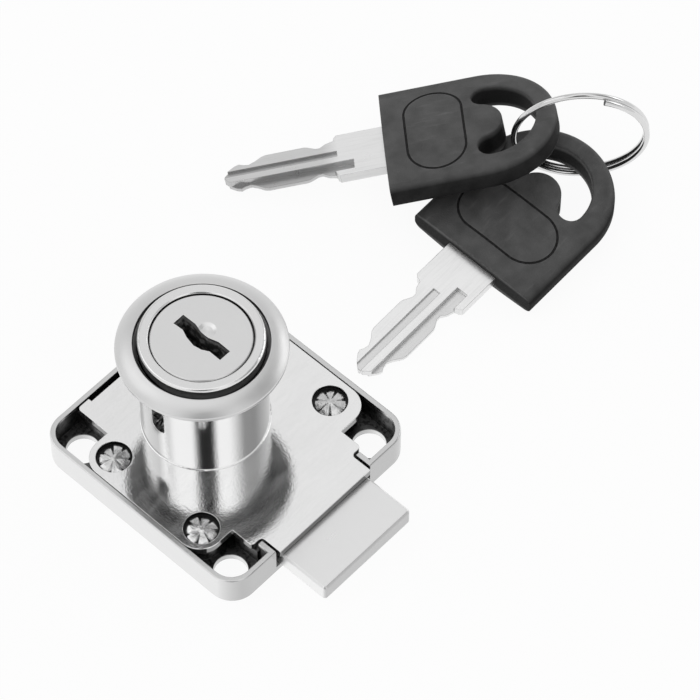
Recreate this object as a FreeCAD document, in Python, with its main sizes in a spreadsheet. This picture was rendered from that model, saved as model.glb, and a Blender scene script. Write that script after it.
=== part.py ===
"""Furniture lock with a flat bolt, a round barrel with a trim ring, and two keys on a split ring.

Frame: +Z along the barrel, z = 0 on the flat back of the case, origin on the barrel's axis.
The bolt slides out along +X. Sizes are millimetres.
"""
import FreeCAD, Part
import Sketcher
import math
import os

doc = FreeCAD.newDocument("furniture_lock")

# Driving dimensions, each with the words that explain it.
SIZES = [
    ("case_length", 39.4, "case along the bolt"),
    ("case_width", 38.0, "case across the bolt"),
    ("case_offset", 4.0, "case centre, ahead of the barrel's axis"),
    ("case_height", 5.5, "back face to rim"),
    ("case_corner", 4.0, "outer corner radius"),
    ("rim_wall", 0.85, "thickness of the rim"),
    ("case_floor", 1.2, "thickness of the back"),
    ("edge_round", 0.25, "small rounding of cast edges"),
    ("merge", 0.2, "how far the features of one casting overlap"),
    ("cut_over", 1.0, "how far a cut runs past the piece"),
    ("screw_pitch_x", 30.2, "screw holes along the bolt"),
    ("screw_pitch_y", 29.4, "screw holes across the bolt"),
    ("screw_hole", 5.1, "screw hole diameter"),
    ("mouth_half", 9.95, "half width of the mouth for the bolt"),
    ("mouth_wall", 0.75, "turned-in walls beside the mouth"),
    ("mouth_wall_back", 20.9, "where the turned-in walls start"),
    ("rail_back", -4.0, "back end of the bolt's guide rails"),
    ("rail_gap", 0.25, "bolt to guide rail"),
    ("rib_gap", 0.1, "top of a rail or rib to the cover"),
    ("recess_inner", 1.15, "wall of a corner recess, inner side to the cover's edge"),
    ("recess_outer", 0.35, "wall of a corner recess, outer side to the cover's edge"),
    ("recess_gap", 0.2, "end of a recess wall to the cover's side arm"),
    ("rivet_back_x", -4.75, "rivets at the back of the case"),
    ("rivet_front_x", 13.0, "front rivet beside the lower screw hole"),
    ("rivet_right_x", 11.6, "front rivet on the other side"),
    ("rivet_y", 14.3, "rivets, distance from the bolt's centre line"),
    ("rivet_post", 5.6, "case post under each rivet"),
    ("rivet_shank", 2.8, "rivet shank diameter"),
    ("rivet_head", 4.4, "rivet head in the back"),
    ("rivet_head_deep", 0.8, "depth of the rivet head"),
    ("counterbore", 5.4, "counterbore round each rivet"),
    ("counterbore_deep", 0.75, "depth of the counterbore"),
    ("star_head", 4.7, "staked star head diameter"),
    ("star_slope", 0.45, "lean of the star head's side"),
    ("star_sunk", 0.1, "star head below the cover's face"),
    ("star_notch", 0.5, "width of a staking notch"),
    ("star_notch_deep", 0.4, "floor of a notch below the cover's face"),
    ("star_turn", 15.0, "turn of the first notch, in degrees"),
    ("cover_thick", 1.25, "cover plate thickness"),
    ("cover_top", 5.4, "top face of the cover plate"),
    ("cover_back_x", -14.0, "cover edge at the back"),
    ("cover_tab_x", -14.6, "tab of the cover that meets the rim"),
    ("cover_tab_y", 9.7, "inner end of the tab"),
    ("cover_side_y", 18.0, "cover edge at the sides"),
    ("cover_arm_back_x", -8.35, "back edge of the side arms"),
    ("cover_arm_front_x", 16.45, "front edge of the side arms"),
    ("cover_back_y", 12.0, "side edge of the back arm"),
    ("cover_front_y", 11.5, "side edge of the front arm"),
    ("cover_front_x", 20.4, "front edge of the front arm"),
    ("tongue_y", 9.5, "half width of the tongue over the bolt"),
    ("tongue_x", 24.1, "front edge of the tongue"),
    ("arm_round", 3.6, "rounding of the side arms at the rivets"),
    ("cover_round", 0.6, "rounding of the cover's other corners"),
    ("barrel_radius", 9.5, "barrel outside"),
    ("barrel_top", 26.0, "end face of the barrel"),
    ("barrel_neck_radius", 9.25, "barrel outside under the trim ring"),
    ("barrel_neck_low", 21.5, "lower end of that neck"),
    ("barrel_bevel", 0.4, "rounding of the barrel's end"),
    ("barrel_foot", 0.2, "fillet at the barrel's foot"),
    ("bore_radius", 6.72, "barrel bore"),
    ("head_bore", 7.65, "bore round the plug's head"),
    ("head_seat", 24.0, "step in the bore under the plug's head"),
    ("window_width", 2.4, "oval window in the barrel's side"),
    ("window_low", 12.0, "lower end of the window"),
    ("window_high", 17.6, "upper end of the window"),
    ("catch_z", 15.0, "height of the retaining pin"),
    ("catch_groove_radius", 7.4, "annular groove for the retaining pin"),
    ("catch_groove_width", 2.6, "width of that groove"),
    ("plug_radius", 6.65, "plug body"),
    ("plug_head", 7.45, "plug head"),
    ("plug_face", 25.8, "front face of the plug"),
    ("plug_tail", 4.35, "rear face of the plug"),
    ("face_bevel", 0.15, "bevel of the plug's face"),
    ("head_gap", 0.05, "plug's head above its seat"),
    ("keyway_bottom", 7.4, "blind end of the keyway"),
    ("dimple_x", -0.3, "polished dimple in the face"),
    ("dimple_y", 1.5, "polished dimple in the face"),
    ("dimple_radius", 1.35, "polished dimple in the face"),
    ("dimple_deep", 0.3, "depth of the dimple"),
    ("wafer_first", 9.8, "height of the first wafer"),
    ("wafer_pitch", 2.2, "wafer to wafer"),
    ("wafer_thick", 1.0, "thickness of a wafer"),
    ("wafer_width", 4.4, "wafer across the blade"),
    ("wafer_radius", 6.55, "radius of a wafer's ends"),
    ("wafer_gap", 0.07, "wafer to its slot, each side"),
    ("wafer_window_long", 8.6, "window of a wafer along the blade"),
    ("wafer_window_wide", 2.7, "window of a wafer across the blade"),
    ("wafer_groove", 7.6, "reach of the wafer grooves in the bore"),
    ("wafer_groove_start", 5.5, "inner end of those grooves"),
    ("wafer_groove_half", 2.73, "half width of those grooves"),
    ("wafer_groove_over", 0.4, "length of those grooves past the last wafer"),
    ("lug_reach", 3.75, "spring lug, distance from the axis"),
    ("lug_width", 0.8, "spring lug, along the slide"),
    ("lug_root", 0.5, "overlap of the lug with its wafer"),
    ("lug_room", 1.1, "room ahead of the lug in its pocket"),
    ("pocket_end", -3.6, "closed end of a spring pocket"),
    ("pocket_reach", 3.95, "side of a spring pocket"),
    ("spring_wire", 0.16, "wire of the wafer springs"),
    ("spring_radius", 0.38, "mean radius of the wafer springs"),
    ("spring_end_gap", 0.02, "end of a spring to what it bears on"),
    ("spring_turns", 3, "turns of a wafer spring"),
    ("catch_spring_turns", 3, "turns of the retaining pin's spring"),
    ("catch_radius", 0.9, "retaining pin"),
    ("catch_tip", 7.15, "tip of the retaining pin"),
    ("catch_tail", 4.7, "inner end of the retaining pin"),
    ("catch_bore_end", 2.75, "end of the retaining pin's bore"),
    ("catch_bore_gap", 0.05, "retaining pin to its bore"),
    ("throw_radius", 4.4, "drive pin from the axis, half of the bolt's throw"),
    ("drive_pin_radius", 1.5, "drive pin"),
    ("drive_pin_low", 1.5, "lower end of the drive pin"),
    ("drive_pin_high", 6.2, "upper end of the drive pin, pressed into the plug"),
    ("bolt_front", 32.5, "end of the bolt, thrown"),
    ("bolt_back", -5.2, "tail of the bolt, thrown"),
    ("bolt_half", 9.1, "half width of the bolt"),
    ("bolt_low", 1.3, "underside of the bolt"),
    ("bolt_thick", 2.7, "thickness of the bolt"),
    ("bolt_edge", 0.3, "bevel round the bolt's end"),
    ("bolt_corner", 0.6, "rounding of the bolt's corners"),
    ("slot_half_x", 2.65, "half width of the bolt's cross slot"),
    ("slot_half_y", 6.4, "half length of the bolt's cross slot"),
    ("trim_bore", 9.37, "trim ring on the barrel's neck"),
    ("trim_collar", 10.4, "collar of the trim ring"),
    ("trim_low", 21.6, "lower end of the collar"),
    ("trim_under", 23.0, "underside of the flange"),
    ("trim_outer", 12.55, "outer radius of the flange"),
    ("trim_edge", 23.75, "height of the flange's outer edge"),
    ("trim_shoulder", 11.35, "radius at the middle of the dome"),
    ("trim_shoulder_z", 24.7, "height at the middle of the dome"),
    ("trim_inner", 9.9, "inner edge of the domed face"),
    ("trim_top", 24.98, "top of the domed face"),
    ("trim_lip", 24.15, "lower end of the face's upright inner edge"),
    ("trim_seat", 23.85, "top of the part that grips the neck"),
    ("trim_dome_round", 5.0, "curve of the domed face"),
    ("trim_rim_round", 0.22, "rounding of the flange's outer edges"),
    ("trim_lip_round", 0.12, "rounding of the inner edge"),
    ("key_thick", 1.5, "blade thickness"),
    ("key_shoulder", 4.65, "half width of the blade at the bow"),
    ("key_length", 25.2, "blade out of the bow"),
    ("key_tip", 0.45, "half width of the blade's tip"),
    ("key_tang", 9.0, "tang moulded into the bow"),
    ("tang_half", 3.5, "half width of the tang"),
    ("tang_shoulder", 0.5, "blade's wide part sunk in the bow"),
    ("groove_low", -0.15, "middle groove of the blade, nearer side"),
    ("groove_high", 1.1, "middle groove of the blade, farther side"),
    ("groove_start", 7.5, "middle groove, distance from the bow"),
    ("groove_deep", 0.4, "depth of the middle groove"),
    ("rebate_inner", -1.45, "inner side of the rebate along the blade's edge"),
    ("rebate_outer", -3.45, "outer side of the rebate where the blade is wide"),
    ("rebate_start", 5.0, "rebate, distance from the bow"),
    ("rebate_deep", 0.9, "depth of the rebate"),
    ("bow_half", 11.7, "half width of the bow"),
    ("bow_length", 26.86, "length of the bow"),
    ("bow_thick", 4.9, "bow thickness in the middle"),
    ("bow_edge", 3.3, "bow thickness at its sides"),
    ("bow_round", 1.3, "rounding of the bow's edges"),
    ("hole_round", 0.35, "rounding of the crescent hole's edges"),
    ("hole_centre", 16.15, "centre of the crescent hole's outer curve"),
    ("hole_radius", 7.6, "radius of that curve"),
    ("hole_end", 2.0, "radius of the crescent's ends"),
    ("bulge_centre", 14.7, "centre of the curve inside the crescent"),
    ("ring_radius", 10.1, "split ring, to the middle of the wire"),
    ("ring_wire", 0.9, "split ring wire"),
    ("ring_pitch", 1.32, "turn to turn of the split ring"),
    ("ring_turns", 1.55, "turns of the split ring"),
]

# One edge of the blade, from its shoulder to the tip: distance from the bow, half width there.
BLADE_EDGE = [
    (7.35, 4.65),
    (7.75, 4.2),
    (7.95, 3.5),
    (9.2, 3.1),
    (10.1, 2.45),
    (10.8, 2.5),
    (12.0, 3.15),
    (12.5, 3.3),
    (18.5, 3.3),
    (19.2, 3.1),
    (20.3, 2.3),
    (21.3, 1.8),
    (22.1, 1.95),
    (22.8, 2.3),
    (23.5, 2.05),
    (24.6, 1.2),
]

# Outline of the keyway on the plug's face, with the bent middle that fits the blade's grooves.
KEYWAY = [
    (-4.65, 1.05),
    (-2.3, 1.1),
    (-1.0, 0.75),
    (0.75, 0.64),
    (2.3, 1.12),
    (4.6, 1.08),
    (4.6, -0.95),
    (2.5, -0.92),
    (1.4, -1.5),
    (0.1, -1.74),
    (-1.6, -1.4),
    (-2.9, -0.85),
    (-4.65, -0.95),
]

# How each key lies: bow face centre, then turn about Z, Y and X in degrees.
KEY_1_POSE = (-12.994, 53.113, 6.456, 49.276, -9.95, -12.151)
KEY_2_POSE = (9.236, 48.329, 2.877, 90.321, -4.459, 3.068)

# Split ring: centre, then the turn about Z of its upright plane, its lean, and where its wire starts.
RING_POSE = (9.022, 72.812, 11.16)
RING_TURN = 43.652
RING_LEAN = -0.632
RING_START = -129.807

sheet = doc.addObject("Spreadsheet::Sheet", "sizes")
for row, (alias, number, words) in enumerate(SIZES, 1):
    sheet.set("A%d" % row, words)
    sheet.set("B%d" % row, str(number))
    sheet.setAlias("B%d" % row, alias)
doc.recompute()

pieces = []

WAFERS = 5
STAR_CUTS = 3


def value(expression):
    """The number that an expression of sheet aliases gives."""
    number = sheet.evalExpression(expression)
    return float(getattr(number, "Value", number))


def linked(expression):
    """The same expression as another object must write it, with the sheet's name before each alias."""
    words = expression.replace("(", " ( ").replace(")", " ) ").split()
    aliases = {alias for alias, number, text in SIZES}
    return " ".join("sizes." + word if word in aliases else word for word in words)


def new_body(label):
    body = doc.addObject("PartDesign::Body", label)
    body.Label = label
    pieces.append(body)
    return body


def new_sketch(body, name, plane="XY_Plane", offset="0"):
    """A sketch on one of the body's own origin planes, moved along the plane's normal."""
    sketch = body.newObject("Sketcher::SketchObject", name)
    support = [feature for feature in body.Origin.OriginFeatures if feature.Role == plane][0]
    sketch.AttachmentSupport = [(support, "")]
    sketch.MapMode = "FlatFace"
    sketch.setExpression(".AttachmentOffset.Base.z", linked(offset))
    return sketch


def bind_point(sketch, geometry, point, x, y):
    """Hold a point of the sketch at two expressions from its origin."""
    for kind, expression in (("DistanceX", x), ("DistanceY", y)):
        number = sketch.addConstraint(Sketcher.Constraint(kind, -1, 1, geometry, point, value(expression)))
        sketch.setExpression("Constraints[%d]" % number, linked(expression))


def draw_polygon(sketch, corners):
    """A closed outline of straight lines through (x, y) expressions."""
    spots = [FreeCAD.Vector(value(x), value(y), 0) for x, y in corners]
    first = sketch.GeometryCount
    count = len(corners)
    for index in range(count):
        sketch.addGeometry(Part.LineSegment(spots[index], spots[(index + 1) % count]), False)
    for index in range(count):
        following = first + (index + 1) % count
        sketch.addConstraint(Sketcher.Constraint("Coincident", first + index, 2, following, 1))
        bind_point(sketch, first + index, 1, *corners[index])


def draw_rectangle(sketch, x_low, x_high, y_low, y_high):
    draw_polygon(sketch, [(x_low, y_low), (x_high, y_low), (x_high, y_high), (x_low, y_high)])


def draw_rounded(sketch, x_low, x_high, y_low, y_high, radius):
    """A rectangle with round corners, held by the centres of its four arcs."""
    near_x, far_x = "%s + %s" % (x_low, radius), "%s - %s" % (x_high, radius)
    near_y, far_y = "%s + %s" % (y_low, radius), "%s - %s" % (y_high, radius)
    centres = [(near_x, near_y), (far_x, near_y), (far_x, far_y), (near_x, far_y)]
    spots = [FreeCAD.Vector(value(x), value(y), 0) for x, y in centres]
    size = value(radius)
    first = sketch.GeometryCount
    for index in range(4):
        circle = Part.Circle(spots[index], FreeCAD.Vector(0, 0, 1), size)
        start = math.pi + index * math.pi / 2
        sketch.addGeometry(Part.ArcOfCircle(circle, start, start + math.pi / 2), False)
        outward = FreeCAD.Vector(math.sin(index * math.pi / 2), -math.cos(index * math.pi / 2), 0) * size
        following = spots[(index + 1) % 4]
        sketch.addGeometry(Part.LineSegment(spots[index] + outward, following + outward), False)
    for index in range(4):
        arc = first + 2 * index
        after = first + (2 * index + 2) % 8
        sketch.addConstraint(Sketcher.Constraint("Tangent", arc, 2, arc + 1, 1))
        sketch.addConstraint(Sketcher.Constraint("Tangent", arc + 1, 2, after, 1))
        bind_point(sketch, arc, 3, *centres[index])
        if index:
            sketch.addConstraint(Sketcher.Constraint("Equal", first, arc))
    number = sketch.addConstraint(Sketcher.Constraint("Radius", first, size))
    sketch.setExpression("Constraints[%d]" % number, linked(radius))


def draw_circle(sketch, x, y, radius):
    spot = FreeCAD.Vector(value(x), value(y), 0)
    circle = sketch.addGeometry(Part.Circle(spot, FreeCAD.Vector(0, 0, 1), value(radius)), False)
    bind_point(sketch, circle, 3, x, y)
    number = sketch.addConstraint(Sketcher.Constraint("Radius", circle, value(radius)))
    sketch.setExpression("Constraints[%d]" % number, linked(radius))


def draw_line(sketch, start, end):
    """A construction line, used as an axis of revolution."""
    spots = [FreeCAD.Vector(value(x), value(y), 0) for x, y in (start, end)]
    line = sketch.addGeometry(Part.LineSegment(*spots), True)
    bind_point(sketch, line, 1, *start)
    bind_point(sketch, line, 2, *end)


def add_pad(body, name, sketch, length, down=False):
    pad = body.newObject("PartDesign::Pad", name)
    pad.Profile = sketch
    pad.setExpression("Length", linked(length))
    pad.Reversed = down
    doc.recompute()
    return pad


def add_pocket(body, name, sketch, length, up=False):
    """Cut from the sketch downwards, or upwards, and insist that something was cut."""
    before = body.Shape.Volume
    pocket = body.newObject("PartDesign::Pocket", name)
    pocket.Profile = sketch
    pocket.setExpression("Length", linked(length))
    pocket.Reversed = up
    doc.recompute()
    if body.Shape.Volume > before - 1e-4:
        raise RuntimeError("%s cuts nothing" % name)
    return pocket


def add_turned(body, name, sketch, cut=False, axis="V_Axis"):
    """Revolve a profile about an axis of its own sketch, as material or as a cut."""
    turned = body.newObject("PartDesign::Groove" if cut else "PartDesign::Revolution", name)
    turned.Profile = sketch
    turned.ReferenceAxis = (sketch, [axis])
    turned.Angle = 360
    doc.recompute()
    return turned


def edges_where(shape, test):
    """Names of the edges that pass a test of the edge's bounding box and middle point."""
    names = []
    for number, edge in enumerate(shape.Edges, 1):
        middle = edge.valueAt((edge.FirstParameter + edge.LastParameter) / 2)
        if test(edge.BoundBox, middle):
            names.append("Edge%d" % number)
    return names


def is_upright(box, middle=None):
    return box.ZLength > 0.2 and box.XLength < 1e-3 and box.YLength < 1e-3


def add_fillet(body, name, radius, test, chamfer=False):
    tip = body.Tip
    names = edges_where(tip.Shape, test)
    if not names:
        raise RuntimeError("%s finds no edge" % name)
    fillet = body.newObject("PartDesign::Chamfer" if chamfer else "PartDesign::Fillet", name)
    fillet.Base = (tip, names)
    fillet.setExpression("Size" if chamfer else "Radius", linked(radius))
    doc.recompute()
    return fillet


def near(number, expression, slack=0.02):
    return abs(number - value(expression)) < slack


CASE_BACK = "( case_offset - case_length / 2 )"
CASE_FRONT = "( case_offset + case_length / 2 )"
CASE_SIDE = "( case_width / 2 )"
RIB_HEIGHT = "cover_top - cover_thick - case_floor + merge - rib_gap"
BOW_SAG = "( ( bow_thick - bow_edge ) / 2 )"
RIVETS = [
    ("rivet_back_x", "-1 * rivet_y"),
    ("rivet_back_x", "rivet_y"),
    ("rivet_front_x", "-1 * rivet_y"),
    ("rivet_right_x", "rivet_y"),
]
SCREWS = [
    ("case_offset %s screw_pitch_x / 2" % along, "%s screw_pitch_y / 2" % across)
    for along in "+-"
    for across in ("1 *", "-1 *")
]


def make_case_tray():
    """Cast tray: floor, rim, mouth for the bolt, guide rails, rivet posts and screw holes."""
    body = new_body("case_tray")
    block = new_sketch(body, "case_outline")
    draw_rounded(block, CASE_BACK, CASE_FRONT, "-1 * " + CASE_SIDE, CASE_SIDE, "case_corner")
    add_pad(body, "case_block", block, "case_height")

    hollow = new_sketch(body, "case_hollow", offset="case_height")
    draw_rounded(
        hollow,
        CASE_BACK + " + rim_wall",
        CASE_FRONT + " - rim_wall",
        "rim_wall - " + CASE_SIDE,
        CASE_SIDE + " - rim_wall",
        "( case_corner - rim_wall )",
    )
    add_pocket(body, "case_inside", hollow, "case_height - case_floor")

    mouth = new_sketch(body, "mouth_outline", offset="case_height")
    mouth_back, mouth_front = CASE_FRONT + " - 2 * rim_wall", CASE_FRONT + " + cut_over"
    draw_rectangle(mouth, mouth_back, mouth_front, "-1 * mouth_half", "mouth_half")
    add_pocket(body, "mouth", mouth, "case_height - case_floor")

    for side, sign in (("left", "-1 *"), ("right", "1 *")):
        wall = new_sketch(body, "mouth_wall_" + side, offset="case_floor - merge")
        inner = "%s mouth_half" % sign
        outer = "%s ( mouth_half + mouth_wall )" % sign
        front = CASE_FRONT + " - rim_wall / 2"
        draw_rectangle(wall, "mouth_wall_back", front, *sorted((inner, outer), key=value))
        add_pad(body, "mouth_side_" + side, wall, "case_height - case_floor + merge")

        rail = new_sketch(body, "rail_outline_" + side, offset="case_floor - merge")
        inner = "%s ( bolt_half + rail_gap )" % sign
        outer = "%s ( mouth_half + mouth_wall )" % sign
        draw_rectangle(rail, "rail_back", "mouth_wall_back + merge", *sorted((inner, outer), key=value))
        add_pad(body, "rail_" + side, rail, RIB_HEIGHT)

        for end, wall_from, wall_to, edge in (
            ("back", CASE_BACK + " + rim_wall / 2", "cover_arm_back_x - recess_gap", "cover_back_y"),
            ("front", "cover_arm_front_x + recess_gap", "mouth_wall_back + merge", "cover_front_y"),
        ):
            screen = new_sketch(body, "recess_wall_%s_%s" % (end, side), offset="case_floor - merge")
            inner = "%s ( %s - recess_inner )" % (sign, edge)
            outer = "%s ( %s - recess_outer )" % (sign, edge)
            draw_rectangle(screen, wall_from, wall_to, *sorted((inner, outer), key=value))
            add_pad(body, "recess_side_%s_%s" % (end, side), screen, RIB_HEIGHT)

    posts = new_sketch(body, "post_outlines", offset="case_floor - merge")
    for x, y in RIVETS:
        draw_circle(posts, x, y, "rivet_post / 2")
    add_pad(body, "rivet_posts", posts, "cover_top - cover_thick - case_floor + merge")

    shanks = new_sketch(body, "shank_outlines", offset="case_height")
    for x, y in RIVETS:
        draw_circle(shanks, x, y, "rivet_shank / 2")
    add_pocket(body, "shank_holes", shanks, "case_height")

    heads = new_sketch(body, "head_outlines", offset="rivet_head_deep")
    for x, y in RIVETS:
        draw_circle(heads, x, y, "rivet_head / 2")
    add_pocket(body, "head_seats", heads, "rivet_head_deep")

    screws = new_sketch(body, "screw_outlines", offset="case_height")
    for x, y in SCREWS:
        draw_circle(screws, x, y, "screw_hole / 2")
    add_pocket(body, "screw_holes", screws, "case_height")

    low, high = value(CASE_BACK), value(CASE_FRONT)
    side_reach = value(CASE_SIDE)

    def on_outside(box, middle):
        flat = box.ZLength < 1e-3
        level = near(box.ZMin, "0") or near(box.ZMin, "case_height")
        ends = abs(box.XMax - low) < 1e-3 or abs(box.XMin - high) < 1e-3
        sides = abs(box.YMax + side_reach) < 1e-3 or abs(box.YMin - side_reach) < 1e-3
        return flat and level and (ends or sides)

    add_fillet(body, "case_edges", "edge_round", on_outside)


def make_cover():
    """Cover plate and barrel in one casting, with the bore, its grooves and the oval window."""
    body = new_body("cover_barrel")
    outline = new_sketch(body, "cover_outline", offset="cover_top")
    half = [
        ("tongue_x", "tongue_y"),
        ("cover_front_x", "tongue_y"),
        ("cover_front_x", "cover_front_y"),
        ("cover_arm_front_x", "cover_front_y"),
        ("cover_arm_front_x", "cover_side_y"),
        ("cover_arm_back_x", "cover_side_y"),
        ("cover_arm_back_x", "cover_back_y"),
        ("cover_tab_x", "cover_back_y"),
        ("cover_tab_x", "cover_tab_y"),
        ("cover_back_x", "cover_tab_y"),
    ]
    mirrored = [(x, "-1 * " + y) for x, y in reversed(half)]
    draw_polygon(outline, half + mirrored)
    add_pad(body, "cover_plate", outline, "cover_thick", down=True)

    def on_arm(box, middle):
        return is_upright(box) and near(abs(box.YMin), "cover_side_y")

    def on_corner(box, middle):
        outer = near(box.XMin, "cover_front_x") or near(abs(box.YMin), "cover_back_y")
        return is_upright(box) and outer and not near(box.XMin, "cover_arm_back_x")

    def on_foot(box, middle):
        level = near(box.ZMin, "cover_top") and box.ZLength < 1e-3
        return level and near(box.XLength, "2 * barrel_radius", 0.1)

    def on_end(box, middle):
        return near(box.ZMin, "barrel_top") and box.ZLength < 1e-3

    add_fillet(body, "arm_corners", "arm_round", on_arm)
    add_fillet(body, "other_corners", "cover_round", on_corner)

    barrel = new_sketch(body, "barrel_outline", offset="cover_top - cover_thick")
    draw_circle(barrel, "0", "0", "barrel_radius")
    add_pad(body, "barrel", barrel, "barrel_top - cover_top + cover_thick")
    add_fillet(body, "barrel_foot_fillet", "barrel_foot", on_foot)
    neck = new_sketch(body, "neck_profile", plane="XZ_Plane")
    outside, above = "barrel_radius + cut_over", "barrel_top + cut_over"
    draw_rectangle(neck, "barrel_neck_radius", outside, "barrel_neck_low", above)
    add_turned(body, "barrel_neck", neck, cut=True)
    add_fillet(body, "barrel_end", "barrel_bevel", on_end)

    bore = new_sketch(body, "bore_profile", plane="XZ_Plane")
    draw_polygon(
        bore,
        [
            ("0", "cover_top - cover_thick - cut_over"),
            ("bore_radius", "cover_top - cover_thick - cut_over"),
            ("bore_radius", "catch_z - catch_groove_width / 2"),
            ("catch_groove_radius", "catch_z - catch_groove_width / 2"),
            ("catch_groove_radius", "catch_z + catch_groove_width / 2"),
            ("bore_radius", "catch_z + catch_groove_width / 2"),
            ("bore_radius", "head_seat"),
            ("head_bore", "head_seat"),
            ("head_bore", "barrel_top - face_bevel"),
            ("head_bore + face_bevel", "barrel_top"),
            ("head_bore + face_bevel", "barrel_top + cut_over"),
            ("0", "barrel_top + cut_over"),
        ],
    )
    add_turned(body, "bore", bore, cut=True)

    grooves = new_sketch(body, "wafer_groove_outlines", offset="wafer_first - wafer_pitch / 2")
    for sign in ("-1 *", "1 *"):
        ends = sorted(("%s wafer_groove_start" % sign, "%s wafer_groove" % sign), key=value)
        draw_rectangle(grooves, *ends, "-1 * wafer_groove_half", "wafer_groove_half")
    add_pocket(body, "wafer_grooves", grooves, "%d * wafer_pitch + wafer_groove_over" % WAFERS, up=True)

    window = new_sketch(body, "window_outline", plane="XZ_Plane")
    draw_circle(window, "0", "window_low + window_width / 2", "window_width / 2")
    add_pocket(body, "window_lower", window, "barrel_radius + cut_over", up=True)
    upper = new_sketch(body, "window_upper_outline", plane="XZ_Plane")
    draw_circle(upper, "0", "window_high - window_width / 2", "window_width / 2")
    add_pocket(body, "window_upper", upper, "barrel_radius + cut_over", up=True)
    middle = new_sketch(body, "window_middle_outline", plane="XZ_Plane")
    draw_rectangle(
        middle,
        "-1 * window_width / 2",
        "window_width / 2",
        "window_low + window_width / 2",
        "window_high - window_width / 2",
    )
    add_pocket(body, "window_middle", middle, "barrel_radius + cut_over", up=True)

    shanks = new_sketch(body, "cover_shank_outlines", offset="cover_top")
    for x, y in RIVETS:
        draw_circle(shanks, x, y, "rivet_shank / 2")
    add_pocket(body, "cover_shank_holes", shanks, "cover_thick")
    sinks = new_sketch(body, "counterbore_outlines", offset="cover_top")
    for x, y in RIVETS:
        draw_circle(sinks, x, y, "counterbore / 2")
    add_pocket(body, "counterbores", sinks, "counterbore_deep")


def make_rivets():
    """Four rivets from the back of the case, staked to a notched star in the cover's counterbores."""
    group = []
    for number, (x, y) in enumerate(RIVETS, 1):
        head = doc.addObject("Part::Cylinder", "rivet_head_%d" % number)
        head.setExpression("Radius", linked("rivet_head / 2"))
        head.setExpression("Height", linked("rivet_head_deep"))
        shank = doc.addObject("Part::Cylinder", "rivet_shank_%d" % number)
        shank.setExpression("Radius", linked("rivet_shank / 2"))
        shank.setExpression("Height", linked("cover_top - counterbore_deep + merge"))
        star = doc.addObject("Part::Cone", "rivet_star_%d" % number)
        star.setExpression("Radius1", linked("star_head / 2"))
        star.setExpression("Radius2", linked("star_head / 2 - star_slope"))
        star.setExpression("Height", linked("counterbore_deep - star_sunk"))
        star.setExpression("Placement.Base.z", linked("cover_top - counterbore_deep"))
        solid = doc.addObject("Part::MultiFuse", "rivet_blank_%d" % number)
        solid.Shapes = [head, shank, star]
        notches = []
        for turn in range(STAR_CUTS):
            notch = doc.addObject("Part::Box", "rivet_notch_%d_%d" % (number, turn))
            notch.setExpression("Length", linked("star_head + cut_over"))
            notch.setExpression("Width", linked("star_notch"))
            notch.setExpression("Height", linked("counterbore_deep"))
            half_length = value("( star_head + cut_over ) / 2")
            half_width = value("star_notch / 2")
            angle = 180 / STAR_CUTS * turn + value("star_turn")
            spin = FreeCAD.Rotation(FreeCAD.Vector(0, 0, 1), angle)
            corner = spin.multVec(FreeCAD.Vector(-half_length, -half_width, 0))
            corner.z = value("cover_top - star_notch_deep")
            notch.Placement = FreeCAD.Placement(corner, spin)
            notches.append(notch)
        cutter = doc.addObject("Part::MultiFuse", "rivet_notches_%d" % number)
        cutter.Shapes = notches
        rivet = doc.addObject("Part::Cut", "rivet_%d" % number)
        rivet.Base = solid
        rivet.Tool = cutter
        rivet.setExpression("Placement.Base.x", linked(x))
        rivet.setExpression("Placement.Base.y", linked(y))
        group.append(rivet)
    rivets = doc.addObject("Part::Compound", "cover_rivets")
    rivets.Label = "cover_rivets"
    rivets.Links = group
    doc.recompute()
    pieces.append(rivets)


def wafer_height(number):
    return "( wafer_first + %d * wafer_pitch )" % (number - 1)


def wafer_side(number):
    """Wafers leave the plug on alternate sides."""
    return 1 if number % 2 else -1


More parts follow.
